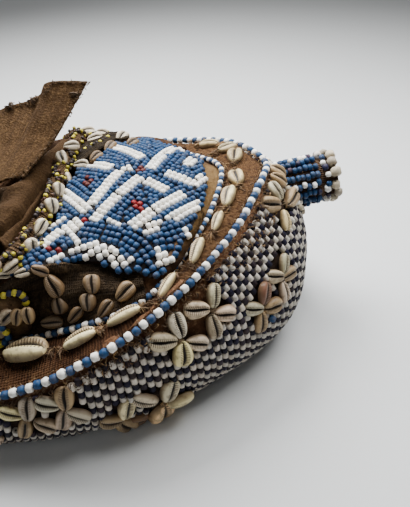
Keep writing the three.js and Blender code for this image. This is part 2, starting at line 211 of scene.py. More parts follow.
world = bpy.data.worlds.new("studio")
world.use_nodes = True
world.node_tree.nodes["Background"].inputs[0].default_value = (*SKY_COLOUR, 1)
world.node_tree.nodes["Background"].inputs[1].default_value = SKY_STRENGTH
bpy.context.scene.world = world
for light_name, (spot, width, power, spread) in LIGHTS.items():
    light = bpy.data.objects.new(light_name, bpy.data.lights.new(light_name, "AREA"))
    light.data.size = width
    light.data.energy = power
    light.data.spread = math.radians(spread)
    light.location = spot
    light.rotation_euler = (LIGHTS_AIM - Vector(spot)).to_track_quat("-Z", "Y").to_euler()
    bpy.context.scene.collection.objects.link(light)

# Helmet: a shell of hide shaped over the head, with a soft smoothed skin. Six border loops
# give its form, and every bead, shell and cloth is laid on it by a turn and a row: turn 0 is
# the crown and 8 the chin, negative on the far side; rows run from the foot to the neck's lip.
STATIONS = 16
FOOT = [(170, 0, 0), (164, 33, 0), (138, 72, 0), (80, 104, 0), (25, 118, 0),
        (-36, 117, 0), (-90, 100, 0), (-130, 60, 0), (-147, 0, 0)]
BELLY = [(187, 0, 62), (181, 38, 60), (155, 82, 50), (92, 117, 40), (30, 132, 30),
         (-36, 130, 24), (-93, 112, 22), (-138, 67, 20), (-158, 0, 20)]
SHOULDER = [(157, 0, 111), (143, 33, 115), (116, 69, 106), (73, 104, 92), (26, 123.5, 75),
            (-32, 121, 50), (-88, 104, 42), (-130, 62, 39), (-147, 0, 38)]
INNER = [(125, 0, 110), (119, 23, 108.5), (101, 54, 102), (64, 94, 89), (27, 99, 75.5),
         (-26, 80, 50), (-80, 74, 44), (-113, 48, 41), (-126, 0, 40)]
CREST = [(115, 0, 112.5), (109, 24, 112), (94, 57, 108), (64, 89, 97), (25, 72, 98),
         (-14, 71, 97), (-72, 68, 54), (-107, 44, 46), (-120, 0, 45)]
LIP = [(10, -5, 105), (7, 8, 104), (4, 18, 103), (-1, 31, 101), (-10, 47, 100),
       (-21, 64, 97), (-68, 62, 56), (-102, 40, 48), (-114, 0, 47)]
CREST_FAR = [(-107, 42, 46), (-68, 65, 55), (-8, 79, 95), (34, 97, 96), (66, 88, 96),
             (96, 58, 104), (109, 26, 111.5)]
LIP_FAR = [(-102, 40, 48), (-64, 60, 58), (-17, 71, 94), (25, 90, 97), (27, 70, 101),
           (21, 46, 103), (14, 20, 105)]
FAR_WIDTH = 0.97
BAND_CROWN = 2.5
DOME_RISE = 0.09
HIDE_TOP = -3.0
HIDE_THICKNESS = 4.5
HIDE_DARK = (0.030, 0.015, 0.008)
HIDE_BROWN = (0.085, 0.040, 0.018)
HIDE_RED = (0.135, 0.060, 0.028)
HIDE_FIBRE = (0.32, 0.19, 0.09)
HIDE_TAN = (0.150, 0.088, 0.032)
HIDE_SHADE = (0.022, 0.014, 0.010)
# Where the net leaves the wall bare: turn, row, and reach in millimetres
BARE_PATCHES = [(2.92, 0.83, 10), (2.80, 0.92, 9), (3.0, 0.92, 8), (3.17, 0.93, 6), (3.33, 0.90, 7)]


def border(near_side, sag=0.0, far_side=None):
    points = [place(x, -y, z) for x, y, z in near_side]
    if far_side:
        return points + [place(*spot) for spot in far_side]
    last = len(near_side) - 1
    return points + [
        place(x, y * FAR_WIDTH, z - sag * math.sin(math.pi * k / last))
        for k, (x, y, z) in reversed(list(enumerate(near_side))[1:-1])]


LOOPS = {
    "foot": border(FOOT),
    "belly": border(BELLY, 8),
    "shoulder": border(SHOULDER, 13),
    "inner": border(INNER, 9),
    "crest": border(CREST, far_side=CREST_FAR),
    "lip": border(LIP, far_side=LIP_FAR),
}


def smooth_run(a, b, c, d, t):
    return 0.5 * (2 * b + (c - a) * t + (2 * a - 5 * b + 4 * c - d) * t * t
                  + (3 * b - a - 3 * c + d) * t * t * t)


def on_loop(name, turn):
    spot = turn % STATIONS
    first = int(spot)
    return smooth_run(*(LOOPS[name][(first + k) % STATIONS] for k in (-1, 0, 1, 2)), spot - first)


def surface(turn, row):
    part = min(int(row), 3)
    t = row - part
    if part == 0:
        foot = on_loop("foot", turn)
        shoulder = on_loop("shoulder", turn)
        pull = 2 * on_loop("belly", turn) - (foot + shoulder) / 2
        return foot * (1 - t) ** 2 + pull * (2 * t * (1 - t)) + shoulder * t * t
    names = (("shoulder", "inner"), ("inner", "crest"), ("crest", "lip"))[part - 1]
    start, end = (on_loop(name, turn) for name in names)
    point = start.lerp(end, t)
    bow = 4 * t * (1 - t)
    if part == 1:
        point.z += BAND_CROWN * MM * bow
    if part == 3:
        point.z += DOME_RISE * bow * (end - start).xy.length
    return point


def directions(turn, row, reach=0.04):
    """The unit ways round, up the rows and outward at a place, and the lengths of a turn and a row"""
    low = max(row - reach, 0)
    high = min(row + reach, 4)
    up = (surface(turn, high) - surface(turn, low)) / (high - low)
    across = (surface(turn + reach, row) - surface(turn - reach, row)) / (2 * reach)
    out = up.cross(across).normalized()
    return across.normalized(), up.normalized(), out, across.length, up.length


def lifted(turn, row, lift):
    return surface(turn, row) + directions(turn, row)[2] * (lift * MM)


def fade(value, low, high, soft):
    """1 between low and high, falling to 0 over a soft distance outside them"""
    return max(0.0, min(1.0, 1 + (value - low) / soft, 1 + (high - value) / soft))


def gridded(cells, spot_of, closed=False, flat_of=None, marks=None):
    """A grid of faces whose corners go where spot_of says, from two shares between 0 and 1.
    Each mark is a named tone kept at every corner, from the same two shares."""
    form = bmesh.new()
    uv = form.loops.layers.uv.new("flat")
    tones = {name: form.verts.layers.float.new(name) for name in marks or {}}
    bmesh.ops.create_grid(form, x_segments=cells[0], y_segments=cells[1], size=0.5)
    shares = {vert: (vert.co.x + 0.5, vert.co.y + 0.5) for vert in form.verts}
    for face in form.faces:
        for loop in face.loops:
            loop[uv].uv = (flat_of or (lambda a, b: (a, b)))(*shares[loop.vert])
    for vert, (a, b) in shares.items():
        for name, tone in tones.items():
            vert[tone] = marks[name](a, b)
        vert.co = spot_of(a, b)
    if closed:
        bmesh.ops.remove_doubles(form, verts=form.verts, dist=1e-6)
    return form


def facing(form, centre):
    """Turns a form's faces away from a point"""
    score = sum((face.calc_center_median() - centre).dot(face.normal) * face.calc_area()
                for face in form.faces)
    if score < 0:
        bmesh.ops.reverse_faces(form, faces=form.faces)
    return form


def piece(name, form, finish, replaces=()):
    """A finished piece of the mask, from a bmesh or a mesh"""
    mesh = form
    if isinstance(form, bmesh.types.BMesh):
        form.normal_update()
        mesh = as_mesh(form, name)
    mesh.polygons.foreach_set("use_smooth", [True] * len(mesh.polygons))
    mesh.materials.append(finish.material)
    made = bpy.data.objects.new(name, mesh)
    bpy.context.scene.collection.objects.link(made)
    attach(made, "root")
    if replaces:
        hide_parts(*replaces)
    return made


def thick(made, thickness):
    """Gives a sheet its thickness, inward from the face that shows"""
    wall = made.modifiers.new("thickness", "SOLIDIFY")
    wall.thickness = thickness * MM
    wall.offset = -1
    return made


def rough(point, size, depth, seed=0.0):
    """A soft uneven height in millimetres, for hide and cloth"""
    return depth * noise.noise(point / (size * MM) + Vector((seed, seed, seed)))


def hide_spot(a, b):
    turn = -8 + 16 * a
    row = 4 * b
    bare = max(0.0, min(1.0, (row - 1.9) * 8, (3.12 - row) * 8)) * (abs(turn) < 3.6)
    lift = HIDE_TOP + 1.6 * bare
    point = surface(turn, row)
    spot = lifted(turn, row, lift + rough(point, 9, 0.5) + rough(point, 30, 0.8))
    spot.z = max(spot.z, 0)
    return spot


bare_spots = [(surface(turn, row), reach * MM) for turn, row, reach in BARE_PATCHES]


def bare_share(turn, row):
    """1 on a patch of the wall that the bead net leaves bare, and 0 away from one"""
    point = surface(turn, row)
    return max(fade((point - middle).length, 0, reach, 0.002) for middle, reach in bare_spots)


hide_form = gridded((176, 64), hide_spot, closed=True, marks={
    "tan": lambda a, b: fade(16 * a - 8, -0.2, 2.1, 0.5) * fade(4 * b, 2.12, 3.1, 0.1),
    "red": lambda a, b: max(fade(4 * b, 0.93, 1.04, 0.03), bare_share(16 * a - 8, 4 * b)),
    "under": lambda a, b: fade(4 * b, 0, 0.9, 0.04) * (1 - bare_share(16 * a - 8, 4 * b))})
facing(hide_form, place(20, 0, 10))
hide_finish = Finish("worn hide", Roughness=0.85, Specular_IOR_Level=0.15)
hide_grain = hide_finish.noise(160, 5)
hide_stain = hide_finish.noise(28, 3)
hide_fibre = hide_finish.noise(420, 4, stretch=(1, 0.35, 1))
hide_red = hide_finish.attribute("red")
hide_finish.coloured(
    HIDE_DARK,
    (hide_stain.between(0.35, 0.65), HIDE_BROWN),
    (hide_red, HIDE_RED),
    (hide_finish.attribute("tan") * (hide_stain.between(0.3, 0.6) * 0.5 + 0.5), HIDE_TAN),
    (hide_red * hide_fibre.between(0.5, 0.7) * 0.7, HIDE_FIBRE),
    (hide_grain.between(0.45, 0.75) * 0.6, HIDE_BROWN),
    (hide_finish.attribute("under") * 0.8, HIDE_SHADE))
hide_finish.bump(hide_grain * 1.3 + hide_stain + hide_fibre, 0.0018)
hide = piece("hide_shell", hide_form, hide_finish, ["helmet_shell"])
thick(hide, HIDE_THICKNESS)

# Face: the front of the mask, under it as it lies. A flat board of hide closes the face side,
# with a nose, a mouth and two eyes of carved wood sewn to it, rubbed with camwood.
WOOD_DARK = (0.10, 0.045, 0.022)
WOOD_LIGHT = (0.24, 0.12, 0.06)
wood_finish = Finish("carved wood", Roughness=0.6)
wood_grain = wood_finish.noise(60, 4, stretch=(0.12, 1, 1))
wood_finish.coloured(WOOD_DARK, (wood_grain.between(0.3, 0.7), WOOD_LIGHT))
wood_finish.bump(wood_grain, 0.0006)
for carved in ("face_board", "face_nose", "face_mouth", "face_near_eye", "face_far_eye"):
    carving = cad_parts[carved]
    of_hide = carved == "face_board"
    carving.data.materials.clear()
    carving.data.materials.append((hide_finish if of_hide else wood_finish).material)

# Cowries: small sea shells, sewn on with the toothed slit outward. The four of a flower point
# to its middle and are tied there with raffia. Their backs are cut away to lie flat.
# A shell that is seen has x, y, the slit's angle, its length and width in pixels, and its turn.
SEEN_FLOWERS = [
    [(271, 203.5, 172, 19, 17, -0.2), (275.5, 191, 118, 22, 12, 0.1), (291, 198, 55, 21, 13, 0.1),
     (283.5, 220, -82, 21, 11.5, -0.4)],
    [(283.5, 263, 82, 20, 11.5, 0.4), (274.5, 276.5, 175, 15, 15, 0), (289, 273.5, 28, 15, 13, 0.2),
     (283, 291, -80, 22, 12, -0.4)],
    [(263.5, 292.5, 78, 24, 16, 0.5), (272, 306.5, 14, 19, 16, 0.2), (253, 309, 178, 18, 15, -0.1),
     (260, 322, -95, 22, 13, -0.1)],
    [(213, 294.5, 84, 26, 16, 0.4), (196.5, 310, 180, 26, 19, 0), (225, 311, -2, 21, 18, 0.3),
     (214, 327, -78, 25, 16, -0.1)],
    [(178, 326, 105, 27, 19, 0.1), (164, 341, 180, 29, 20, 0), (198, 342.5, -8, 22, 17, 0.1),
     (181.5, 354, -92, 25, 21, -0.1)],
    [(146.5, 398.5, 172, 26, 15, -0.4), (169, 390.5, 68, 23, 18, 0.3), (180, 397.5, 22, 28, 14, 0.5),
     (160, 410, -115, 17, 16, -0.3)],
    [(125, 410, 75, 20, 17, 0.3), (137, 418, 8, 19, 13, 0), (112, 421, 185, 18, 12, 0),
     (127, 423, -30, 14, 11, 0)],
    [(64, 398, 92, 22, 21, 0), (47.5, 404, 168, 26, 16, -0.1), (80, 414, -20, 26, 16, 0.4),
     (64.5, 420, -100, 17, 17, 0.1)],
    [(27, 409, 90, 18, 19, 0), (10, 413, 165, 24, 14, 0), (45, 425, -22, 24, 14, 0),
     (24, 428, -100, 15, 15, 0)],
]
# Every flower's turn, row and twist in degrees. The first nine are the seen ones.
FLOWERS = [
    (0.97, 0.84, 49), (1.84, 0.72, 47), (2.34, 0.67, 42), (2.78, 0.84, 41), (3.20, 0.82, 38),
    (3.52, 0.34, 59), (3.92, 0.22, 10), (4.44, 0.74, 20), (4.78, 0.73, 14), (5.3, 0.5, 10),
    (6.1, 0.5, 0), (6.9, 0.5, 30), (8, 0.5, 0), (-0.85, 0.62, 10), (-1.9, 0.6, 30),
    (-2.9, 0.6, 0), (-3.9, 0.6, 20), (-4.9, 0.5, 45), (-5.9, 0.5, 0), (-6.9, 0.5, 30),
]
FLOWER_REACH = 17.5
COWRIE_WIDTH = 0.34
COWRIE_HEIGHT = 0.26
COWRIE_UNDER = 0.10
LIP_PROFILE = [(0, 0.22), (0.17, 0.82), (0.38, 1.0), (0.64, 0.92), (0.88, 0.62), (1, 0)]
CREAM = (0.72, 0.62, 0.45)
GREY_CREAM = (0.54, 0.45, 0.32)
BROWN_SHELL = (0.17, 0.075, 0.030)
TAN_SHELL = (0.40, 0.275, 0.14)
YELLOW_SHELL = (0.95, 0.80, 0.42)
SHELL_DIRT_AND_SHADE = (0.13, 0.075, 0.036)
LIP_WHITE = (0.78, 0.72, 0.60)
LIP_BROWN = (0.40, 0.25, 0.14)
TICK_BROWN = (0.10, 0.055, 0.028)
SLIT_SHADE = (0.018, 0.012, 0.008)
chance = random.Random(7)


def cowrie_shell():
    """A cowrie of length 1 along x, standing on z = 0, its slit up between two swollen lips"""
    form = bmesh.new()
    layers = {name: form.verts.layers.float.new(name) for name in ("slit", "lip", "along", "flank")}
    parts = len(LIP_PROFILE) - 1
    bmesh.ops.create_uvsphere(form, u_segments=4 * parts, v_segments=12, radius=1)
    for vert in form.verts:
        along = vert.co.z
        ring = math.sqrt(max(0.0, 1 - along * along))
        angle = math.atan2(vert.co.x, vert.co.y)
        share = angle / (math.pi / 2)
        width = COWRIE_WIDTH * ring ** 0.78 * (1 + 0.2 * along)
        bend = 0.03 * math.sin(2.2 * along + 0.5) * ring
        if abs(share) < 1.001:
            step = round(abs(share) * parts)
            across, height = LIP_PROFILE[step]
            height = height ** (ring ** 0.5) * COWRIE_HEIGHT * ring ** 0.65
            vert[layers["slit"]] = (1.0, 0.42)[step] * ring ** 0.4 if step < 2 else 0.0
            vert[layers["lip"]] = 1.0 if step in (1, 2) else 0.0
            vert[layers["flank"]] = math.copysign(across, share)
            side = math.copysign(across, share) * width
        else:
            height = -COWRIE_UNDER * ring * abs(math.cos(angle))
            side = math.sin(angle) * width
            vert[layers["flank"]] = math.copysign(1, share)
        vert[layers["along"]] = along
        vert.co = (along * 0.5, side + bend, height + COWRIE_UNDER)
    bmesh.ops.recalc_face_normals(form, faces=form.faces)
    return as_mesh(form, "cowrie")


def set_down(point, along, up, size):
    """The matrix that puts a unit shape at a point, its x along one way and its z up another"""
    along = along.normalized()
    side = up.cross(along).normalized()
    turned = Matrix((along, side, along.cross(side))).transposed().to_4x4()
    return Matrix.Translation(point) @ turned @ Matrix.Diagonal((*(s * MM for s in size), 1))


def repeated(name, source, places, tints):
    """One mesh that holds a copy of a source at each place, in its own tint"""
    corners = np.array([(*vert.co, 1) for vert in source.vertices])
    count, each = len(places), len(corners)
    spots = np.einsum("kij,vj->kvi", np.array(places), corners)[..., :3]
    loops = np.zeros(len(source.loops), np.int32)
    source.loops.foreach_get("vertex_index", loops)
    totals = np.zeros(len(source.polygons), np.int32)
    source.polygons.foreach_get("loop_total", totals)
    mesh = bpy.data.meshes.new(name)
    mesh.vertices.add(count * each)
    mesh.vertices.foreach_set("co", spots.ravel())
    mesh.loops.add(count * len(loops))
    mesh.loops.foreach_set(
        "vertex_index", (loops + each * np.arange(count)[:, None]).ravel().astype(np.int32))
    mesh.polygons.add(count * len(totals))
    starts = np.concatenate(([0], np.cumsum(np.tile(totals, count))[:-1]))
    mesh.polygons.foreach_set("loop_start", starts.astype(np.int32))
    for layer in source.attributes:
        if layer.data_type == "FLOAT" and layer.domain == "POINT":
            values = np.zeros(each, np.float32)
            layer.data.foreach_get("value", values)
            copy = mesh.attributes.new(layer.name, "FLOAT", "POINT")
            copy.data.foreach_set("value", np.tile(values, count))
    tint = mesh.attributes.new("tint", "FLOAT_COLOR", "POINT")
    shades = np.repeat(np.array([(*colour, 1)[:4] for colour in tints]), each, axis=0)
    tint.data.foreach_set("color", shades.astype(np.float32).ravel())
    mesh.update(calc_edges=True)
    mesh.validate()
    return mesh


def varied(colour, spread):
    """A colour a little lighter or darker, and a little warmer or cooler"""
    light = 1 + chance.uniform(-spread, spread)
    warm = chance.uniform(-spread, spread) * 0.25
    return (colour[0] * light * (1 + warm), colour[1] * light, colour[2] * light * (1 - warm))


def walk(turn, row, round_mm, up_mm):
    """The turn and row that a walk in millimetres round and up the surface reaches"""
    _, _, _, per_turn, per_row = directions(turn, row)
    return turn + round_mm * MM / per_turn, min(max(row + up_mm * MM / per_row, 0.02), 3.98)


cowrie = cowrie_shell()
shell_finish = Finish("cowrie shell", Roughness=0.45, Specular_IOR_Level=0.3)
shell_dirt = shell_finish.noise(240, 4)
shell_flank = shell_finish.attribute("flank")
shell_teeth = shell_finish.add("ShaderNodeMath", {"operation": "SINE"},
                               [shell_finish.attribute("along") * 46.0])
shell_lip = shell_finish.attribute("lip")
shell_ticks = shell_teeth.between(0.0, 0.6) * shell_lip.between(0.5, 0.85) * 0.85
shell_finish.coloured(
    shell_finish.attribute("tint", "Color"),
    (shell_flank.between(0.02, 0.2) * (1 - shell_finish.attribute("tint", "Alpha")), LIP_BROWN),
    (shell_dirt.between(0.45, 0.70) * 0.55, SHELL_DIRT_AND_SHADE),
    # The outer flanks and the underside are darkened: partly dirt, partly painted shade where the shell
    # turns down to the hide.
    ((shell_flank * shell_flank).between(0.60, 1.0) * 0.85, SHELL_DIRT_AND_SHADE),
    (shell_lip * 0.08, LIP_WHITE),
    (shell_ticks, TICK_BROWN),
    # The slit is painted near black: painted shade in the shell's opening.
    (shell_finish.attribute("slit").between(0.26, 0.62), SLIT_SHADE))
shell_finish.bump(shell_dirt * 0.4 - shell_ticks, 0.0006)


def sew_shells(name, places, tints, replaces=()):
    piece(name, repeated(name, cowrie, places, tints), shell_finish, replaces)


def fan(first, second, angle):
    """The way at an angle from the first of two ways toward the second"""
    return first * math.cos(angle) + second * math.sin(angle)


def petal(turn, row, degrees, near, far, foot, width=1.0, lean=0.0):
    """A cowrie that lies on the surface between two reaches from a place. Its lean turns the
    slit to its left side."""
    angle = math.radians(degrees)
    ends = [lifted(*walk(turn, row, reach * math.cos(angle), reach * math.sin(angle)), foot)
            for reach in (near, far)]
    middle = walk(turn, row, (near + far) / 2 * math.cos(angle), (near + far) / 2 * math.sin(angle))
    out = directions(*middle)[2]
    tip = lean + chance.uniform(-0.12, 0.12)
    length = far - near
    along = ends[1] - ends[0]
    out = (out + tip * along.cross(out).normalized()).normalized()
    return set_down((ends[0] + ends[1]) / 2, along, out,
                    (length, length * width * chance.uniform(0.92, 1.08), length * (0.4 + 0.6 * width)))


class Seen:
    """A surface as the picture shows it: the place at each pixel, and the way out of it"""

    def __init__(self, samples):
        self.samples = [(point, out) for point, out in samples
                        if (camera.location - point).dot(out) > 0]
        self.tree = KDTree(len(self.samples))
        for k, (point, _) in enumerate(self.samples):
            self.tree.insert(pixel_of(point), k)
        self.tree.balance()

    def at(self, x, y):
        found = self.tree.find_range(Vector((x, y, 0)), 1.5) or [self.tree.find(Vector((x, y, 0)))]
        return min((self.samples[index] for _, index, _ in found),
                   key=lambda sample: (camera.location - sample[0]).length)


def seen_way(point, out, degrees):
    """The way along a surface that the picture shows at an angle, and the length of a pixel"""
    first = out.orthogonal().normalized()
    second = out.cross(first)
    a, b = ((pixel_of(point + way * MM) - pixel_of(point)) / MM for way in (first, second))
    x, y = math.cos(math.radians(degrees)), -math.sin(math.radians(degrees))
    way = (first * (x * b.y - y * b.x) + second * (a.x * y - a.y * x)) / (a.x * b.y - a.y * b.x)
    return way.normalized(), way.length


def seen_shell(seen, spot, foot, sizes, facing_share):
    """A cowrie laid where it is seen: x, y, its angle, length and width in pixels, and how far
    its slit is turned to the right of its way. It is turned a share toward the camera."""
    x, y, degrees, length, width, turned = (*spot, 0)[:6]
    point, out = seen.at(x, y)
    out = (out + (camera.location - point).normalized() * facing_share).normalized()
    way, pixel = seen_way(point, out, degrees)
    _, cross_pixel = seen_way(point, out, degrees + 90)
    size = min(max(length * pixel / MM, sizes[0]), sizes[1])
    girth = min(max(width * cross_pixel / MM, 0.6 * size), 0.95 * size) / (2 * COWRIE_WIDTH)
    up = (out + way.cross(out) * turned).normalized()
    return set_down(point + out * foot * MM, way, up, (size, girth, size * 0.4 + girth * 0.6))


def fibre_strand():
    """A thin bent strand of length 1 along x, which bows up along z"""
    form = bmesh.new()
    ring = bmesh.ops.create_circle(form, segments=4, radius=0.5)["verts"]
    bmesh.ops.rotate(form, verts=ring, cent=(0, 0, 0), matrix=Matrix.Rotation(math.pi / 2, 3, "Y"))
    bmesh.ops.translate(form, verts=ring, vec=(-0.5, 0, 0))
    edges = list(form.edges)
    for step in range(1, 6):
        made = bmesh.ops.extrude_edge_only(form, edges=edges)["geom"]
        verts = [item for item in made if isinstance(item, bmesh.types.BMVert)]
        edges = [item for item in made if isinstance(item, bmesh.types.BMEdge)]
        bmesh.ops.translate(form, verts=verts, vec=(0.2, 0, 0))
    for vert in form.verts:
        vert.co.z += 8 * (0.25 - vert.co.x * vert.co.x)
    bmesh.ops.holes_fill(form, edges=form.edges, sides=4)
    bmesh.ops.recalc_face_normals(form, faces=form.faces)
    return as_mesh(form, "strand")


strand = fibre_strand()
STRAND_WIDTH = 0.45
RAFFIA = (0.36, 0.25, 0.13)
RAFFIA_SHADE = (0.12, 0.07, 0.035)
strand_finish = Finish("raffia thread", Roughness=0.8)
strand_finish.coloured(strand_finish.attribute("tint", "Color"),
                       (strand_finish.noise(200, 3).between(0.3, 0.7), RAFFIA_SHADE))


def sew_threads(name, places, tints):
    piece(name, repeated(name, strand, places, tints), strand_finish)


def seen_patch(turns, rows):
    return Seen([(lifted(turn, row, 0), directions(turn, row)[2]) for turn in turns for row in rows])


FLOWER_FOOT = -1.6
FLOWER_SIZES = (15, 21)
FLOWER_FACING = 0.3
SHELL_SHADES = {
    1: [TAN_SHELL, CREAM, TAN_SHELL, YELLOW_SHELL], 2: [GREY_CREAM, GREY_CREAM, TAN_SHELL, CREAM],
    3: [BROWN_SHELL, TAN_SHELL, GREY_CREAM, TAN_SHELL], 4: [CREAM, CREAM, CREAM, GREY_CREAM],
    5: [CREAM, CREAM, CREAM, YELLOW_SHELL], 6: [CREAM, CREAM, YELLOW_SHELL, YELLOW_SHELL],
    7: [YELLOW_SHELL, BROWN_SHELL, TAN_SHELL, TAN_SHELL], 8: [TAN_SHELL, CREAM, GREY_CREAM, GREY_CREAM],
    9: [GREY_CREAM, YELLOW_SHELL, GREY_CREAM, TAN_SHELL],
}
wall_seen = seen_patch(np.linspace(0.2, 6.2, 260), np.linspace(0.02, 1, 90))
petal_spots = []
for number, (turn, row, twist) in enumerate(FLOWERS, 1):
    if number <= len(SEEN_FLOWERS):
        petals = [seen_shell(wall_seen, spot, FLOWER_FOOT, FLOWER_SIZES, FLOWER_FACING)
                  for spot in SEEN_FLOWERS[number - 1]]
    else:
        petals = [petal(turn, row, twist + quarter + chance.uniform(-6, 6), 0.4,
                        FLOWER_REACH * chance.uniform(0.93, 1.03), FLOWER_FOOT)
                  for quarter in (0, 90, 180, 270)]
    petal_spots += [matrix.translation for matrix in petals]
    shades = SHELL_SHADES.get(number, [GREY_CREAM] * 4)
    tints = [varied(tuple(c + (d - c) * chance.uniform(0, 0.3) for c, d in zip(shade, TAN_SHELL)), 0.14)
             for shade in shades]
    sew_shells("flower_cowries_%02d" % number, petals, tints, ["cowrie_flower_%02d" % number])

# Two more lie above the first flower
CROWN_SHELLS = [(276, 181, -35, 17, 9), (274.5, 173.5, -35, 17, 9)]
crown_shells = [seen_shell(wall_seen, spot, 1.5, (14, 18), FLOWER_FACING) for spot in CROWN_SHELLS]
sew_shells("crown_cowries", crown_shells, [varied(TAN_SHELL, 0.15) for _ in crown_shells])

knots = []
for turn, row, twist in FLOWERS:
    across, up, out, _, _ = directions(turn, row)
    for k in range(6):
        way = fan(across, up, math.radians(twist + 45 + 60 * k + chance.uniform(-15, 15)))
        start = lifted(turn, row, 1.2) + way * chance.uniform(-1, 1.5) * MM
        knots.append(set_down(start, way, out, (chance.uniform(3, 6), STRAND_WIDTH, STRAND_WIDTH * 1.6)))
sew_threads("flower_ties", knots, [varied(RAFFIA, 0.3) for _ in knots])

# Bead net: strands of small glass beads, navy and off-white by turns, hang side by side from
# the shoulder to the foot and make a chequer. They stop short round each flower.
NET_PITCH = 4.75
NET_RADIUS = 2.36
NET_CENTRE = -1.0
NET_GAP = 9.2
NET_CLOSE = 0.96
NET_STAGGER = 1.6
NET_LENGTH = 4.4
NET_LOWEST = 1.5
NET_FOOT_ROW = 0.035
FLOWER_CLEAR = 10.5
PETAL_CLEAR = 7.0
NET_WHITE = (0.54, 0.49, 0.42)
NET_NAVY = (0.006, 0.005, 0.018)
NET_PLUM = (0.018, 0.011, 0.017)
NET_GRIME = (0.062, 0.045, 0.030)
HOLE_SHADE = (0.02, 0.015, 0.01)
BEAD_SIDES = 8


def glass_bead(sides=BEAD_SIDES, rounding=0.2):
    """A short round-edged bead of length 1 and width 1 along x, dimpled where its hole is"""
    form = bmesh.new()
    hole = form.verts.layers.float.new("hole")
    bmesh.ops.create_cone(form, segments=sides, radius1=0.5, radius2=0.5, depth=1, cap_ends=True)
    rims = [edge for edge in form.edges if abs(edge.verts[0].co.z - edge.verts[1].co.z) < 1e-6]
    bmesh.ops.bevel(form, geom=rims, offset=rounding, segments=1, profile=0.5, material=-1,
                    affect="EDGES")
    caps = [face for face in form.faces if len(face.verts) == sides]
    for vert in bmesh.ops.poke(form, faces=caps, offset=-0.12)["verts"]:
        vert[hole] = 1.0
    bmesh.ops.rotate(form, verts=form.verts, cent=(0, 0, 0),
                     matrix=Matrix.Rotation(math.pi / 2, 3, "Y"))
    bmesh.ops.recalc_face_normals(form, faces=form.faces)
    return as_mesh(form, "bead")


def bead_finish(name, roughness, grime, dirt_share):
    finish = Finish(name, Roughness=roughness, Specular_IOR_Level=0.22)
    dirt = finish.noise(300, 3)
    # The dimple at each hole is painted near black: painted shade in the hole.
    finish.coloured(finish.attribute("tint", "Color"),
                    (dirt.between(0.45, 0.75) * dirt_share, grime),
                    (finish.attribute("hole").between(0.3, 0.9), HOLE_SHADE))
    finish.feed("Roughness", dirt * 0.3 + roughness)
    finish.bump(dirt, 0.0003)
    return finish


class Run:
    """A line round the mask at one row, measured along its length in millimetres"""

    def __init__(self, row):
        self.turns = np.linspace(-8.0, 8.0, 641)
        points = [surface(turn, row) for turn in self.turns]
        steps = [0.0] + [(b - a).length / MM for a, b in zip(points, points[1:])]
        self.along = np.cumsum(steps)
        self.length = self.along[-1]

    def turn_at(self, distance):
        return float(np.interp(distance, self.along, self.turns))

    def upto(self, turn):
        return float(np.interp(turn, self.turns, self.along))


bead = glass_bead(rounding=0.07)
net_run = Run(0.55)
strands = 2 * round(net_run.length / NET_PITCH / 2)
rows = np.linspace(NET_FOOT_ROW, 1, 70)
net_spots = []
net_tints = []
clear_spots = bare_spots + [(surface(turn, row), FLOWER_CLEAR * MM) for turn, row, _ in FLOWERS]
clear_spots += [(spot, PETAL_CLEAR * MM) for spot in petal_spots]
for number in range(strands):
    turn = net_run.turn_at(net_run.length * (number + 0.5) / strands)
    line = [surface(turn, row) for row in rows]
    along = np.cumsum([0.0] + [(b - a).length / MM for a, b in zip(line, line[1:])])
    count = int((along[-1] - NET_GAP) / (NET_PITCH * NET_CLOSE))
    drop = chance.uniform(0, 0.7) + (NET_STAGGER if number % 2 else 0)
    for k in range(count + 1):
        distance = along[-1] - NET_GAP - drop - k * NET_PITCH * NET_CLOSE
        if distance < NET_LOWEST:
            break
        row = float(np.interp(distance, along, rows))
        spot = surface(turn, row)
        if any((spot - middle).length < reach for middle, reach in clear_spots):
            continue
        across, up, out, _, _ = directions(turn, row)
        spacing = 2 * NET_RADIUS
        if number < strands - 1:
            beside = surface(net_run.turn_at(net_run.length * (number + 1.5) / strands), row)
            spacing = min(spacing, (beside - spot).length / MM)
        width = spacing * chance.uniform(0.90, 1.0)
        way = up + across * chance.uniform(-0.08, 0.08) + out * chance.uniform(-0.08, 0.08)
        centre = spot + out * ((NET_CENTRE + chance.uniform(-0.25, 0.25)) * MM)
        # A flat side of each bead faces out
        side = Matrix.Rotation(math.pi / BEAD_SIDES, 3, way) @ out
        net_spots.append(set_down(centre, way, side,
                                  (NET_LENGTH * chance.uniform(0.92, 1.03), width, 2 * NET_RADIUS)))
        if (number + k) % 2:
            # The whites are painted darker low down, as painted shade on the wall's lower rows, and dustier
            # round the crown and the sides of the chin
            lit_and_clean = (0.80 + 0.5 * row) * (1 - 0.3 * max(0.0, math.cos(turn)))
            net_tints.append(varied(tuple(c * lit_and_clean for c in NET_WHITE), 0.13))
        else:
            net_tints.append(varied(NET_NAVY if chance.random() < 0.7 else NET_PLUM, 0.35))
net_finish = bead_finish("navy and white glass", 0.55, NET_GRIME, 0.5)
piece("chequer_beads", repeated("chequer_beads", bead, net_spots, net_tints), net_finish,
      ["checker_net"])

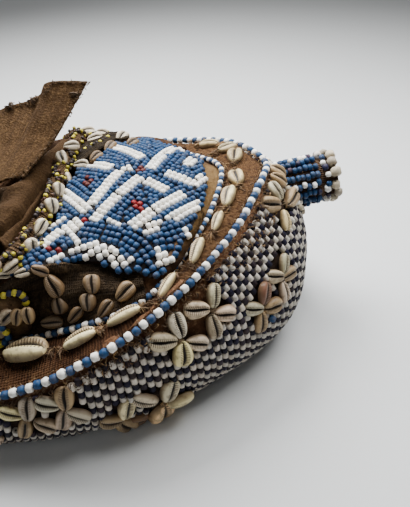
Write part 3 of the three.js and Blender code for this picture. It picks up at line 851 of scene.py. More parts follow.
# Border band: a strip of ribbed raffia cloth along the shoulder, red-brown, sewn down at both
# edges. Single cowries lie along it, tied at their ends with frayed raffia.
# A cowrie's turn, row, length in millimetres, angle, and width as a share
BAND_COWRIES = [
    (4.82, 1.60, 31, 10, 0.88), (4.2, 1.55, 22, -9, 0.76), (3.62, 1.62, 22, 1, 0.6),
    (2.92, 1.60, 20, -18, 0.5), (2.4, 1.56, 22, -17, 0.52), (1.9, 1.56, 18, -11, 0.62),
    (1.34, 1.62, 20, -6, 0.74), (0.74, 1.60, 18, -16, 0.9), (-0.38, 1.5, 18, 37, 0.95),
    (-0.94, 1.3, 15, -80, 0.95), (-1.42, 1.36, 17, -14, 0.85), (5.55, 1.5, 24, 5, 0.8),
    (6.4, 1.5, 22, -5, 0.8), (7.4, 1.5, 22, 10, 0.8), (-7.6, 1.5, 22, 0, 0.8),
    (-6.6, 1.5, 22, 10, 0.8), (-5.6, 1.5, 22, -10, 0.8), (-4.6, 1.5, 20, 0, 0.8),
    (-3.6, 1.46, 17, 10, 0.8), (-2.8, 1.4, 17, 0, 0.8),
]
YELLOW_TURNS = (1.2, 3.1)
STRIP_THICKNESS = 1.2
BAND_TOP = -0.8
BAND_SHELL = (0.72, 0.58, 0.30)
BAND_RED = (0.105, 0.045, 0.019)
BAND_BROWN = (0.022, 0.009, 0.004)
BAND_OCHRE = (0.17, 0.088, 0.038)
BAND_TAN = (0.120, 0.062, 0.025)
FRAY_SHADES = [(0.36, 0.22, 0.09), (0.16, 0.09, 0.04), (0.07, 0.035, 0.016)]
band_run = Run(1.5)


def band_spot(a, b):
    turn = -8 + 16 * a
    row = 1.02 + 0.96 * b
    edge = (2 * b - 1) ** 6
    point = surface(turn, row)
    return lifted(turn, row, BAND_TOP - 1.5 * edge + rough(point, 12, 0.9) + rough(point, 4, 0.35))


RIB_SCALE = 314.16


def ribbed_finish(name, dark, mid, light, pitch, worn=BAND_OCHRE, streaks=0.0):
    """Ribbed raffia: ribs across the strip, finer threads between them, and dusty wear.
    The pitch is in millimetres. A wave repeats 20 times in a length of 2 pi over its scale."""
    finish = Finish(name, Roughness=0.9, Specular_IOR_Level=0.12)
    bright = finish.attribute("bright")
    ribs = finish.ribs("X", RIB_SCALE / pitch, 1.4)
    threads = finish.ribs("Y", RIB_SCALE / (pitch * 0.8), 1.8)
    fuzz = finish.noise(500, 4)
    stain = finish.noise(40, 3)
    streak = finish.noise(420, 4, stretch=(1, 0.06, 1), uv=True)
    ribs = ribs * (1 - streaks) + streak.between(0.35, 0.65) * streaks
    ribs = ribs * (1 - bright * 0.75) + bright * fuzz * 0.6
    finish.coloured(
        dark,
        (ribs * 0.6 + fuzz * 0.4, mid),
        (bright * fuzz.between(0.3, 0.6) * 0.9, worn),
        (stain.between(0.48, 0.72) * fuzz.between(0.3, 0.7) * 0.8, light),
        (finish.noise(230, 5).between(0.52, 0.66) * 0.75, dark))
    finish.bump(ribs + threads * 0.5 + fuzz * 1.4, 0.0011)
    return finish


band_finish = ribbed_finish("red raffia cloth", BAND_BROWN, BAND_RED, BAND_OCHRE, 1.9, BAND_TAN,
                            streaks=0.3)
band_form = gridded((330, 12), band_spot, closed=True,
                    flat_of=lambda a, b: (band_run.upto(-8 + 16 * a) * MM, b * 0.034),
                    marks={"bright": lambda a, b: fade(16 * a - 8, -1.8, 2.3, 1.0)})
facing(band_form, place(20, 0, 10))
thick(piece("border_cloth", band_form, band_finish, ["border_cloth_band"]),
      STRIP_THICKNESS)

band_shells = []
band_tints = []
fray = []


def frayed(turn, row, longest):
    """A loose fibre that stands from the cloth in a way of its own"""
    across, up, out, _, _ = directions(turn, row)
    way = across * chance.uniform(-1, 1) + up * chance.uniform(-1, 1) + out * chance.uniform(0, 0.5)
    size = (chance.uniform(2.5, longest), STRAND_WIDTH, STRAND_WIDTH * chance.uniform(0.5, 3))
    fray.append(set_down(lifted(turn, row, BAND_TOP + 0.5), way, out, size))


for turn, row, length, angle, width in BAND_COWRIES:
    yellow = length > 20 or YELLOW_TURNS[0] < turn < YELLOW_TURNS[1]
    band_shells.append(petal(turn, row, angle + 180, -length / 2, length / 2, BAND_TOP - 0.4, width,
                             -0.12 if yellow else 0.0))
    band_tints.append((*varied(YELLOW_SHELL if yellow else BAND_SHELL, 0.1), 0.35 if yellow else 0.7))
    for end in (-1, 1):
        for _ in range(14):
            reach = end * (length / 2 + chance.uniform(-1, 5))
            frayed(*walk(turn, row, reach * math.cos(math.radians(angle)) + chance.uniform(-1, 1),
                         reach * math.sin(math.radians(angle)) + chance.uniform(-3, 3)), 8)
for turn in np.linspace(-7.9, 7.9, 420):
    frayed(float(turn), chance.choice((1.07, 1.12, 0.95, 1.88, 1.93)), 5)
for _ in range(900):
    frayed(chance.uniform(0.3, 6), chance.uniform(0.86, 0.99), 4)
sew_shells("band_cowries", band_shells, band_tints)
sew_threads("band_fray", fray, [varied(chance.choice(FRAY_SHADES), 0.4) for _ in fray])

# Bead strings: one string of blue and white glass beads by turns along each edge of the band.
# The outer one has the larger beads. Two stray beads are sewn to the wall below it.
BEAD_BLUE = (0.011, 0.049, 0.128)
BEAD_WHITE = (0.93, 0.90, 0.83)
GLASS_GRIME = (0.28, 0.20, 0.13)
STRING_CENTRE = 1.3
STRAY_BEADS = [(270.5, 318, BEAD_BLUE), (278.5, 310, NET_NAVY)]
glass_finish = bead_finish("blue and white glass", 0.42, GLASS_GRIME, 0.25)


def sew_beads(name, places, tints, replaces=()):
    piece(name, repeated(name, bead, places, tints), glass_finish, replaces)


def bead_string(name, node, row, width, pitch, finest):
    run = Run(row)
    spots = []
    tints = []
    distance = 0.0
    k = 0
    while distance < run.length - pitch / 2:
        turn = run.turn_at(distance)
        finer = 1 - finest * fade(turn, -1.8, 2.4, 0.8)
        distance += pitch * finer
        k += 1
        across, up, out, _, _ = directions(turn, row)
        size = width * finer * chance.uniform(0.93, 1.04)
        wobble = up * chance.uniform(-0.35, 0.35) + out * chance.uniform(-0.2, 0.2)
        way = across + up * chance.uniform(-0.2, 0.2) + out * chance.uniform(-0.1, 0.1)
        spots.append(set_down(lifted(turn, row, STRING_CENTRE) + wobble * MM, way, out,
                              (pitch * finer * 0.93 * chance.uniform(0.9, 1.04), size, size)))
        tints.append(varied(BEAD_WHITE if k % 2 else BEAD_BLUE, 0.1))
    sew_beads(name, spots, tints, [node])


bead = glass_bead(10)
stray_spots = []
for x, y, _ in STRAY_BEADS:
    point, out = wall_seen.at(x, y)
    stray_spots.append(set_down(point + out * 2.2 * MM, out.orthogonal(), out, (4.4, 5.2, 5.2)))
sew_beads("stray_beads", stray_spots, [colour for _, _, colour in STRAY_BEADS])
bead_string("outer_string_beads", "outer_bead_string", 1, 5.5, 5.4, 0.1)
bead_string("inner_string_beads", "inner_bead_string", 2, 4.7, 4.7, 0.2)
bead = glass_bead()

# Interlace panel: the back of the head, sewn over with glass beads in rows. White straps cross
# on a blue ground, after the knotwork of cut-pile cloth, with a few red beads in its eyes.
# The straps are named by where they are seen in the picture, and each row follows one.
PANEL_EDGE = [
    (-60, 292), (-30, 262), (0, 252), (36, 244), (44, 231), (59, 221), (61, 208), (62, 197),
    (70, 184), (78, 178), (76, 171), (86, 168), (96, 164), (103, 155), (111, 148), (118, 144),
    (134, 145), (141, 140), (150, 140), (160, 144), (173, 148), (187, 153), (201, 163),
    (204, 173), (210, 185), (208, 196), (202, 205), (196, 214), (191, 230), (187, 245),
    (185, 263), (170, 278), (163, 285), (144, 275), (134, 272), (121, 271), (110, 268),
    (100, 262), (82, 261), (64, 263), (52, 267), (38, 266), (0, 278), (-60, 310),
]
# A strap has a number of rows and the line that it follows, and a white group a middle and a reach
STRAPS = [
    (2, [(113, 147.5), (142, 159.5)]),
    (2, [(91, 166), (112, 169)]),
    (2, [(64, 194), (87, 212), (110, 183), (119, 173), (131, 169)]),
    (2, [(95, 221), (118, 197), (139, 179), (166, 192)]),
    (2, [(133, 227), (152, 213), (183, 195)]),
    (2, [(133, 235.5), (165, 224.5), (200, 204.5)]),
    (2, [(108, 224), (126, 233)]),
    (2, [(151, 169), (163, 156), (174, 150), (186, 153)]),
    (2, [(168, 175), (194, 185), (205, 177)]),
    (1, [(44, 232), (66, 220)]),
    (2, [(42, 247), (64, 230)]),
    (3, [(71, 225), (87, 243)]),
    (1, [(50, 262), (66, 254), (106, 242)]),
    (3, [(86, 257.5), (107, 246.5), (118, 254), (126, 267)]),
]
BLUE_STRAPS = [
    (3, [(84, 230), (102, 233), (121, 237.5), (139, 248), (149, 263), (159, 281)]),
    (3, [(170, 228), (178, 243), (182, 256)]),
]
WHITE_GROUPS = [((190, 163), (6.5, 5)), ((160, 258), (6.5, 9)), ((169, 266), (7, 9)),
                ((188, 234), (5, 4.5)), ((179, 269), (2.5, 2.5))]
RED_GROUPS = [((88, 183), (4.5, 5), 0.4), ((140, 170.5), (4, 4), 0.35), ((137.5, 207.5), (7.5, 5), 1.0),
              ((83, 221), (3.5, 3), 1.0), ((53, 252), (6.5, 2.2), 0.7)]
PANEL_PITCH = 4.05
PANEL_STEP = 3.6
PANEL_BEAD = 4.3
PANEL_GROWTH = 0.12
GROWTH_FROM = (-45, -85)
PANEL_CENTRE = 0.5
ROW_LEVELS = 16
ROW_CLEAR = 3.2
FILL_CLEAR = 3.1
FILL_STEP = 1.1
FILL_WAY = Vector((0.86, 0.5))
BEAD_RED = (0.21, 0.006, 0.010)
BACKING_SHADE_DARK = (0.006, 0.006, 0.008)
BACKING_SHADE_LIGHT = (0.030, 0.024, 0.022)

panel_samples = []
for turn in np.arange(-5.2, 5.6, 0.045):
    for row in np.arange(2.96, 4.0, 0.02):
        panel_samples.append((float(turn), float(row), surface(float(turn), float(row))))
seen_tree = KDTree(len(panel_samples))
plan_tree = KDTree(len(panel_samples))
for k, (turn, row, point) in enumerate(panel_samples):
    seen_tree.insert(pixel_of(point), k)
    plan_tree.insert((point.x, point.y, 0), k)
seen_tree.balance()
plan_tree.balance()


def plan_of(pixel):
    """The place on the panel, in plan, that is seen at a pixel"""
    nearest = seen_tree.find_n(Vector((*pixel, 0)), 4)
    weights = [1 / (distance + 0.05) for _, _, distance in nearest]
    spots = [panel_samples[index][2] for _, index, _ in nearest]
    return sum((spot * weight for spot, weight in zip(spots, weights)), Vector()) / sum(weights)


def on_panel(x, y):
    """The panel's surface above a place in plan, with its turn and row"""
    nearest = plan_tree.find_n(Vector((x, y, 0)), 4)
    weights = [1 / (distance + 1e-5) for _, _, distance in nearest]
    height = sum(panel_samples[index][2].z * weight
                 for (_, index, _), weight in zip(nearest, weights)) / sum(weights)
    turn, row, _ = panel_samples[nearest[0][1]]
    return Vector((x, y, height)), turn, row, nearest[0][2]


def inside(pixel, outline):
    crossed = False
    for (x1, y1), (x2, y2) in zip(outline, outline[1:] + outline[:1]):
        if (y1 > pixel.y) != (y2 > pixel.y):
            if pixel.x < x1 + (pixel.y - y1) * (x2 - x1) / (y2 - y1):
                crossed = not crossed
    return crossed


def growth(y):
    """How much larger the panel's beads are than the smallest, at a distance across the mask"""
    far, near = (place(0, limit, 0).y for limit in GROWTH_FROM)
    return 1 + PANEL_GROWTH * max(0.0, min(1.0, (far - y) / (far - near)))


def within(pixel, centre, reach):
    return ((pixel.x - centre[0]) / reach[0]) ** 2 + ((pixel.y - centre[1]) / reach[1]) ** 2 < 1


class Layout:
    """Beads sewn so far on the panel, kept apart by a cell grid in plan"""

    def __init__(self, cell):
        self.cell = cell
        self.cells = {}
        self.beads = []

    def key(self, x, y):
        return int(x // self.cell), int(y // self.cell)

    def free(self, x, y, gap):
        gap *= growth(y) * MM
        column, line = self.key(x, y)
        for i in (-1, 0, 1):
            for j in (-1, 0, 1):
                for bx, by in self.cells.get((column + i, line + j), ()):
                    if (bx - x) ** 2 + (by - y) ** 2 < gap * gap:
                        return False
        return True

    def sew(self, x, y, way, white):
        point, turn, row, off = on_panel(x, y)
        if off > 2.5 * MM or row < 3.0 or not inside(pixel_of(point), PANEL_EDGE):
            return
        self.cells.setdefault(self.key(x, y), []).append((x, y))
        self.beads.append((point, turn, row, way, white))


# The backing under the panel's beads is near black: partly its own dark cloth, partly painted shade in the
# gaps between the beads.
backing_shade_finish = Finish("panel backing and gap shade", Roughness=0.95, Specular_IOR_Level=0.1)
backing_shade_finish.coloured(BACKING_SHADE_DARK, (backing_shade_finish.noise(400, 3), BACKING_SHADE_LIGHT))
backing_shade_form = gridded((220, 50), lambda a, b: lifted(-5.2 + 10.8 * a, 3.0 + 0.97 * b, 0.35))
bmesh.ops.delete(backing_shade_form, context="FACES", geom=[
    face for face in backing_shade_form.faces
    if not inside(pixel_of(face.calc_center_median()), PANEL_EDGE)])
facing(backing_shade_form, place(20, 0, 60))
piece("panel_backing_shade", backing_shade_form, backing_shade_finish)
layout = Layout(6 * MM)


def in_plan(straps):
    return [(rows, [plan_of(pixel) for pixel in line]) for rows, line in straps]


strap_lines = in_plan(STRAPS)


def lay_row(start, end, offset, white, extend=0.0):
    """One row of beads beside a stretch of a strap, where there is room for it"""
    way = (end - start).xy
    length = way.length + extend * MM
    way = way.normalized()
    side = Vector((-way.y, way.x))
    distance = -extend * MM
    while distance < length:
        spot = start.xy + way * distance
        size = growth(spot.y)
        spot += side * (offset * size * MM)
        if layout.free(spot.x, spot.y, ROW_CLEAR):
            layout.sew(spot.x, spot.y, way, white)
        distance += PANEL_STEP * size * MM


for straps, white in ((in_plan(BLUE_STRAPS), False), (strap_lines, True)):
    for rows, line in straps:
        for start, end in zip(line, line[1:]):
            for k in range(rows):
                lay_row(start, end, (k - (rows - 1) / 2) * PANEL_PITCH, white)
for level in range(1, ROW_LEVELS):
    for rows, line in strap_lines:
        for start, end in zip(line, line[1:]):
            for side in (-1, 1):
                lay_row(start, end, side * ((rows - 1) / 2 + level) * PANEL_PITCH, False,
                        extend=2.0 + level)
across_range, beside_range = (
    np.arange(min(values), max(values), FILL_STEP * MM)
    for values in ([p.x for _, _, p in panel_samples], [p.y for _, _, p in panel_samples]))
for x in across_range:
    for y in beside_range:
        if layout.free(x, y, FILL_CLEAR):
            layout.sew(float(x), float(y), FILL_WAY, False)

panel_spots = []
panel_tints = []
for point, turn, row, way, white in layout.beads:
    pixel = pixel_of(point)
    colour = varied(BEAD_WHITE if white else BEAD_BLUE, 0.12)
    if not white:
        for centre, reach in WHITE_GROUPS:
            if within(pixel, centre, reach):
                colour = varied(BEAD_WHITE, 0.08)
        for centre, reach, strength in RED_GROUPS:
            if within(pixel, centre, reach):
                colour = varied(tuple(c * strength for c in BEAD_RED), 0.15)
    out = directions(turn, max(row, 3.05))[2]
    size = PANEL_BEAD * growth(point.y)
    along = Vector((way.x, way.y, 0))
    along -= out * along.dot(out)
    along += out * chance.uniform(-0.1, 0.1) * along.length
    panel_spots.append(set_down(
        point + out * ((PANEL_CENTRE + size / 5 - 0.8 + chance.uniform(-0.3, 0.3)) * MM), along, out,
        (size * 0.82 * chance.uniform(0.92, 1.05), size * chance.uniform(0.92, 1.0), size * 0.96)))
    panel_tints.append(colour)
sew_beads("interlace_beads", panel_spots, panel_tints, ["interlace_panel"])

# Step cloths: dark ribbed raffia cloth under the panel's near and far edges, where the back
# of the head drops to the band. Cowries hang on the near one in pairs, tied at the top.
STEP_DARK = (0.012, 0.008, 0.005)
STEP_MID = (0.060, 0.038, 0.020)
STEP_LIGHT = (0.110, 0.070, 0.036)
# The step shells' tint is darkened as painted shade of the step's hollow
SHADED_STEP_SHELL = (0.215, 0.138, 0.068)
STEP_COWRIES = [
    (54, 286, -62, 25, 18, 0), (60, 305.5, -80, 13, 16, 0), (92, 284, 90, 20, 18, 0.1),
    (88, 302.5, 88, 15, 17, 0), (125, 291, 42, 23, 17, 0.1), (105, 308, 50, 21, 13, 0.2),
    (75, 315, 45, 19, 12, 0.3), (52, 322, 2, 22, 11, 0),
]
step_finish = ribbed_finish("dark raffia cloth", STEP_DARK, STEP_MID, STEP_LIGHT, 1.5, STEP_LIGHT,
                            streaks=0.75)


def step_cloth(name, node, first, last):
    run = Run(2.6)

    def turn_of(a):
        return first + (last - first) * a

    def spot_of(a, b):
        turn = turn_of(a)
        row = 2.03 + 1.02 * b
        point = surface(turn, row)
        fold = math.sin(5 * a + 11 * b + 2 * rough(point, 20, 1.0))
        return lifted(turn, row, -0.4 + rough(point, 14, 2.2) + rough(point, 5, 0.6) + 1.3 * fold)

    form = gridded((90, 26), spot_of, flat_of=lambda a, b: (b * 0.03, run.upto(turn_of(a)) * MM))
    facing(form, place(20, 0, 60))
    thick(piece(name, form, step_finish, [node]), STRIP_THICKNESS)


step_cloth("near_step_raffia", "near_step_cloth", 3.2, 5.6)
step_cloth("far_step_raffia", "far_step_cloth", -5.4, -3.2)
step_seen = seen_patch(np.linspace(3.0, 5.9, 150), np.linspace(2.05, 3.0, 60))
step_shells = [seen_shell(step_seen, spot, 0.6, (11, 17.5), 0.45) for spot in STEP_COWRIES]
# Their tint is darkened as painted shade, since the step lies in shadow, and the lower ones are painted
# darker still
sew_shells("step_cowries", step_shells, [
    varied(tuple(c * (1.1 if spot[1] < 300 else 0.6) for c in SHADED_STEP_SHELL), 0.2) for spot in STEP_COWRIES])

# Ears: a round pad of raffia on each side, with a ring of yellow and navy glass beads round
# it and cowries in its middle. A loose end of the near ring hangs below, under two cowries.
EAR_RADIUS = 19
EAR_RING = 17.5
EAR_RISE = 8
EAR_SPOTS = {"near_ear": (5.2, 2.5), "far_ear": (-5.2, 2.5)}
BEAD_YELLOW = (0.52, 0.44, 0.045)
BEAD_NAVY = (0.016, 0.018, 0.05)
EAR_BEADS = 28
EAR_TAN = (0.24, 0.145, 0.072)
EAR_STRING = [(-3, 317), (1, 318), (6, 320), (10, 324), (12, 329), (9, 334), (4, 336), (-1, 337)]
EAR_PAIR = [(19, 312, 80, 15, 14), (32, 312, 100, 15, 14)]
ear_finish = ribbed_finish("ear raffia", STEP_DARK, EAR_TAN, BAND_OCHRE, 1.8, streaks=0.6)
for ear_name, (turn, row) in EAR_SPOTS.items():
    across, up, out, _, _ = directions(turn, row)
    ear_base = lifted(turn, row, 0.2)
    form = bmesh.new()
    bmesh.ops.create_uvsphere(form, u_segments=40, v_segments=20, radius=1)
    for vert in form.verts:
        if vert.co.z < 0:
            vert.co.z *= 0.2
        vert.co *= 1 + 0.05 * noise.noise(vert.co * 3)
    bmesh.ops.transform(form, verts=form.verts,
                        matrix=set_down(ear_base, across, out, (EAR_RADIUS, EAR_RADIUS, EAR_RISE)))
    piece(ear_name + "_pad", form, ear_finish, [ear_name])
    ring = []
    for k in range(EAR_BEADS):
        way = fan(across, up, 2 * math.pi * k / EAR_BEADS)
        spot = ear_base + way * (EAR_RING * MM) + out * (3.2 * MM)
        ring.append(set_down(spot, out.cross(way), out, (3.7, 4.6, 4.6)))
    sew_beads(ear_name + "_beads", ring,
              [varied(BEAD_YELLOW if k % 2 else BEAD_NAVY, 0.12) for k in range(EAR_BEADS)])
    ear_shells = []
    for degrees in (30, 150, 270):
        way = fan(across, up, math.radians(degrees))
        ear_shells.append(set_down(ear_base + way * (4.5 * MM) + out * (6.0 * MM), way, out, (13, 13, 13)))
    sew_shells(ear_name + "_cowries", ear_shells, [varied(GREY_CREAM, 0.15) for _ in ear_shells])
ear_pair = [seen_shell(step_seen, spot, EAR_RISE - 1, (11, 15), 0.4) for spot in EAR_PAIR]
sew_shells("near_ear_pair", ear_pair, [varied(TAN_SHELL, 0.1) for _ in ear_pair])
string_spots = []
for k, spot in enumerate(EAR_STRING):
    point, out = step_seen.at(*spot)
    way, _ = seen_way(point, out, -40 * k)
    string_spots.append(set_down(point + out * (EAR_RISE + 1.5) * MM, way, out, (3.8, 4.8, 4.8)))
sew_beads("near_ear_string", string_spots, [
    varied(BEAD_YELLOW if k % 3 == 0 else BEAD_BLUE, 0.15) for k in range(len(string_spots))])

# Neck rim: the hide's edge at the neck opening is bound in a roll of raffia. Cowries are sewn
# along it side by side, with yellow and navy beads between them.
RIM_RADIUS = 4.5
RIM_TURNS = (-4.3, 5.3)
RIM_DARK = (0.022, 0.012, 0.006)
RIM_BROWN = (0.13, 0.075, 0.034)
RIM_LIGHT = (0.30, 0.185, 0.085)
BEAD_AMBER = (0.06, 0.022, 0.010)
BEAD_DARK = (0.018, 0.012, 0.012)
RIM_BEAD_TURNS = (BEAD_YELLOW, BEAD_DARK, BEAD_DARK)
rim_finish = ribbed_finish("rim raffia", RIM_DARK, RIM_BROWN, RIM_LIGHT, 1.7)
rim_run = Run(3.99)


def rim_centre(turn):
    return lifted(turn, 3.99, RIM_RADIUS + 0.3)


def rim_way(turn):
    return (rim_centre(turn + 0.05) - rim_centre(turn - 0.05)).normalized()


def rim_turn(a):
    return RIM_TURNS[0] + (RIM_TURNS[1] - RIM_TURNS[0]) * a


def rim_spot(a, b):
    turn = rim_turn(a)
    centre = rim_centre(turn)
    out = directions(turn, 3.9)[2]
    side = rim_way(turn).cross(out).normalized()
    angle = 2 * math.pi * b
    swell = RIM_RADIUS + rough(centre, 7, 1.0) + 0.5 * math.sin(angle * 3 + turn * 9)
    return centre + fan(side, out, angle) * (swell * MM)


rim_form = gridded((150, 14), rim_spot, closed=True,
                   flat_of=lambda a, b: (rim_run.upto(rim_turn(a)) * MM, b * 0.028))
bmesh.ops.holes_fill(rim_form, edges=rim_form.edges, sides=20)
bmesh.ops.recalc_face_normals(rim_form, faces=rim_form.faces)
piece("neck_rim_roll", rim_form, rim_finish, ["neck_rim"])
rim_samples = [(lifted(turn, row, 1.0), directions(turn, row)[2]) for turn, row, _ in panel_samples[::3]]
for a in np.linspace(0, 1, 280):
    middle = rim_centre(rim_turn(float(a)))
    for b in np.linspace(0, 1, 25):
        spot = rim_spot(float(a), float(b))
        rim_samples.append((spot, (spot - middle).normalized()))
rim_seen = Seen(rim_samples)

# The shells and the strings of beads are named by where they are seen
RIM_SHELLS = [
    (87, 131, 8, 17, 8), (102, 132.5, -10, 12, 8), (95, 139, 14, 16, 9), (72, 146, 2, 16, 10),
    (62, 158, 108, 14, 11), (121, 137.5, 48, 13, 10), (82, 165, 3, 15, 9), (67, 177, 115, 13, 12),
    (59, 189, 82, 13, 12), (52, 206, 94, 16, 15), (40, 226, 55, 18, 13), (30, 247, 88, 19, 17),
    (11, 267, 32, 21, 12), (4, 275, 4, 16, 9), (22, 272.5, 12, 17, 9),
]
RIM_DARK_SHELLS = [(133, 143, 30, 12, 9), (110, 148, 50, 14, 9), (96, 157.5, 38, 15, 9),
                   (42, 270, -22, 19, 12)]
RIM_HIDDEN = [5.05, 5.25]
RIM_BEADS = [
    [(71, 155), (80, 151.5), (88, 148), (97, 144), (104, 139.5), (112, 134)],
    [(79, 131), (91, 134), (108, 131)],
    [(72, 160), (70, 170)], [(52, 164), (57, 175)], [(50, 182), (46, 196)], [(43, 206), (36, 216)],
    [(62, 197), (60, 214)], [(50, 216), (49, 232)], [(42, 236), (42, 250)], [(20, 254), (20, 266)],
    [(28, 232), (22, 240)], [(8, 254), (2, 262)],
]
RIM_BEAD_STEP = 2.9
RIM_LOOSE_BEADS = 260
rim_shells = []
rim_tints = []
# The darker rim shells share the step shells' tint, darkened as painted shade
for shells, shade in ((RIM_SHELLS, CREAM), (RIM_DARK_SHELLS, SHADED_STEP_SHELL)):
    for spot in shells:
        rim_shells.append(seen_shell(rim_seen, spot, -0.8, (10, 18), 0.6))
        rim_tints.append(varied(shade, 0.12))
for turn in RIM_HIDDEN:
    out = directions(turn, 3.9)[2]
    way = rim_way(turn)
    rim_shells.append(set_down(rim_centre(turn) + out * (RIM_RADIUS - 0.8) * MM, out.cross(way) + way * 0.4,
                               out, (15, 15, 15)))
    rim_tints.append(varied(CREAM, 0.12))
rim_beads = []
rim_bead_tints = []
for line in RIM_BEADS:
    reached = 0.0
    for start, end in zip(line, line[1:]):
        start, end = Vector(start), Vector(end)
        while reached < (end - start).length:
            point, out = rim_seen.at(*start.lerp(end, reached / (end - start).length))
            way, _ = seen_way(point, out, math.degrees(math.atan2(start.y - end.y, end.x - start.x)))
            rim_beads.append(set_down(point + out * chance.uniform(0.6, 1.4) * MM, way, out,
                                      (2.6, 3.1, 3.1)))
            rim_bead_tints.append(varied(RIM_BEAD_TURNS[len(rim_beads) % len(RIM_BEAD_TURNS)], 0.2))
            reached += RIM_BEAD_STEP
        reached -= (end - start).length
for _ in range(RIM_LOOSE_BEADS):
    turn = chance.uniform(*RIM_TURNS)
    spot = rim_spot((turn - RIM_TURNS[0]) / (RIM_TURNS[1] - RIM_TURNS[0]), chance.random())
    out = (spot - rim_centre(turn)).normalized()
    rim_beads.append(set_down(spot + out * 0.5 * MM, out.orthogonal(), out, (2.3, 2.7, 2.7)))
    rim_bead_tints.append(varied(chance.choice((BEAD_YELLOW, BEAD_DARK, BEAD_DARK, BEAD_AMBER)), 0.2))
sew_shells("rim_cowries", rim_shells, rim_tints)
sew_beads("rim_beads", rim_beads, rim_bead_tints)

# Edge cloth: a strip of dark ribbed raffia laid over the panel's far corner, beside the rim,
# and sewn down along its sides. Both sides are named by where they are seen.
EDGE_CLOTH_FAR = [(66, 163), (76, 151), (90, 144), (108, 135), (127, 134)]
EDGE_CLOTH_NEAR = [(76, 172), (88, 160), (102, 151), (117, 143), (130, 141)]
EDGE_DARK = (0.006, 0.004, 0.003)
EDGE_MID = (0.036, 0.024, 0.012)
EDGE_LIGHT = (0.06, 0.04, 0.02)


def edge_cloth_spot(a, b):
    spot = a * (len(EDGE_CLOTH_FAR) - 1)
    k = min(int(spot), len(EDGE_CLOTH_FAR) - 2)
    far, near = (Vector(line[k]).lerp(Vector(line[k + 1]), spot - k)
                 for line in (EDGE_CLOTH_FAR, EDGE_CLOTH_NEAR))
    point = plan_of(far.lerp(near, b))
    return point + Vector((0, 0, 1.6 + rough(point, 6, 1.2) + 0.5 * math.sin(9 * b))) * MM


edge_form = gridded((60, 14), edge_cloth_spot, flat_of=lambda a, b: (b * 0.014, a * 0.06))
facing(edge_form, place(40, 50, -200))
edge_finish = ribbed_finish("edge raffia", EDGE_DARK, EDGE_MID, EDGE_LIGHT, 1.5, STEP_MID, streaks=0.5)
thick(piece("edge_cloth", edge_form, edge_finish), STRIP_THICKNESS)

# Hood: a broad cloth of plain-woven raffia that closed the neck. It is gathered inside the
# rim, rolled over the opening and laid to the chin, and folded back as a stiff flap.
HOOD_CENTRE = (-60, 5)
HOOD_ROLL = [(11, -5), (13, 4), (22, 9), (33, 4), (46, -12)]
HOOD_RUN = [(-85, 57, 84), (-117, 60, 70), (-150, 55, 60)]
HOOD_SIDE_DROP = 10
HOOD_FOLD = 4
HOOD_GATHERS = 11
FLAP_LOW = [(-150, -32, 61), (-106, -22, 88), (-62, -8, 106), (-36, 4, 113), (-24, 7, 116),
            (-11, 7, 116)]
FLAP_HIGH = [(-150, 50, 61), (-102, 68, 100), (-50, 74, 128), (2, 70, 144), (12, 69, 155),
             (40, 66, 156)]
FLAP_SAG = 5
CLOTH_THICKNESS = 1.8
HOOD_CREASE = [(40, 186), (31, 198), (20, 215), (0, 232), (-30, 250)]
CREASE_DEPTH = 9
CREASE_REACH = 3.5
HOOD_DARK = (0.034, 0.0170, 0.0070)
HOOD_MID = (0.104, 0.058, 0.024)
HOOD_LIGHT = (0.190, 0.112, 0.047)
WEAVE_PITCH = 1.5


def along_points(points, share):
    """A smooth line through points, at a share of its stretches"""
    spot = share * (len(points) - 1)
    first = min(int(spot), len(points) - 2)
    picked = [points[min(max(first + k, 0), len(points) - 1)] for k in (-1, 0, 1, 2)]
    return smooth_run(*picked, spot - first)


def hood_lines():
    lines = []
    for k in range(HOOD_GATHERS):
        start = on_loop("lip", 4.8 - 0.85 * k)
        inward = (place(*HOOD_CENTRE, 0) - start).xy.normalized()
        across = 2 * k / (HOOD_GATHERS - 1) - 1
        wave = HOOD_FOLD * math.cos(3 * math.pi * across)
        line = []
        for j, (reach, lift) in enumerate(HOOD_ROLL):
            height = lift + (wave * 0.5 if j > 1 else 0)
            line.append(start + Vector((inward.x * reach, inward.y * reach, height)) * MM)
        for x, half_width, height in HOOD_RUN:
            line.append(place(x, 5 + across * half_width,
                              height + wave - HOOD_SIDE_DROP * across * across))
        lines.append(line)
    return lines


def flap_lines():
    lines = []
    for k, (low_spot, high_spot) in enumerate(zip(FLAP_LOW, FLAP_HIGH)):
        low_point, high_point = place(*low_spot), place(*high_spot)
        line = []
        for t in (0, 0.25, 0.5, 0.75, 1):
            point = low_point.lerp(high_point, t)
            point.z -= FLAP_SAG * MM * 4 * t * (1 - t) * min(k, 1)
            line.append(point)
        lines.append(line)
    return lines


def draped(lines, cells, creases, flat_size, shade):
    """A cloth through a net of points, with creases of its own"""
    def spot_of(a, b):
        point = along_points([along_points(line, b) for line in lines], a)
        crease = rough(point, 26, creases, 3.0) + rough(point, 9, creases * 0.3, 8.0)
        return point + Vector((0, 0, crease)) * MM

    return gridded(cells, spot_of, flat_of=lambda a, b: (a * flat_size[0], b * flat_size[1]),
                   marks={"shade": lambda a, b: shade})


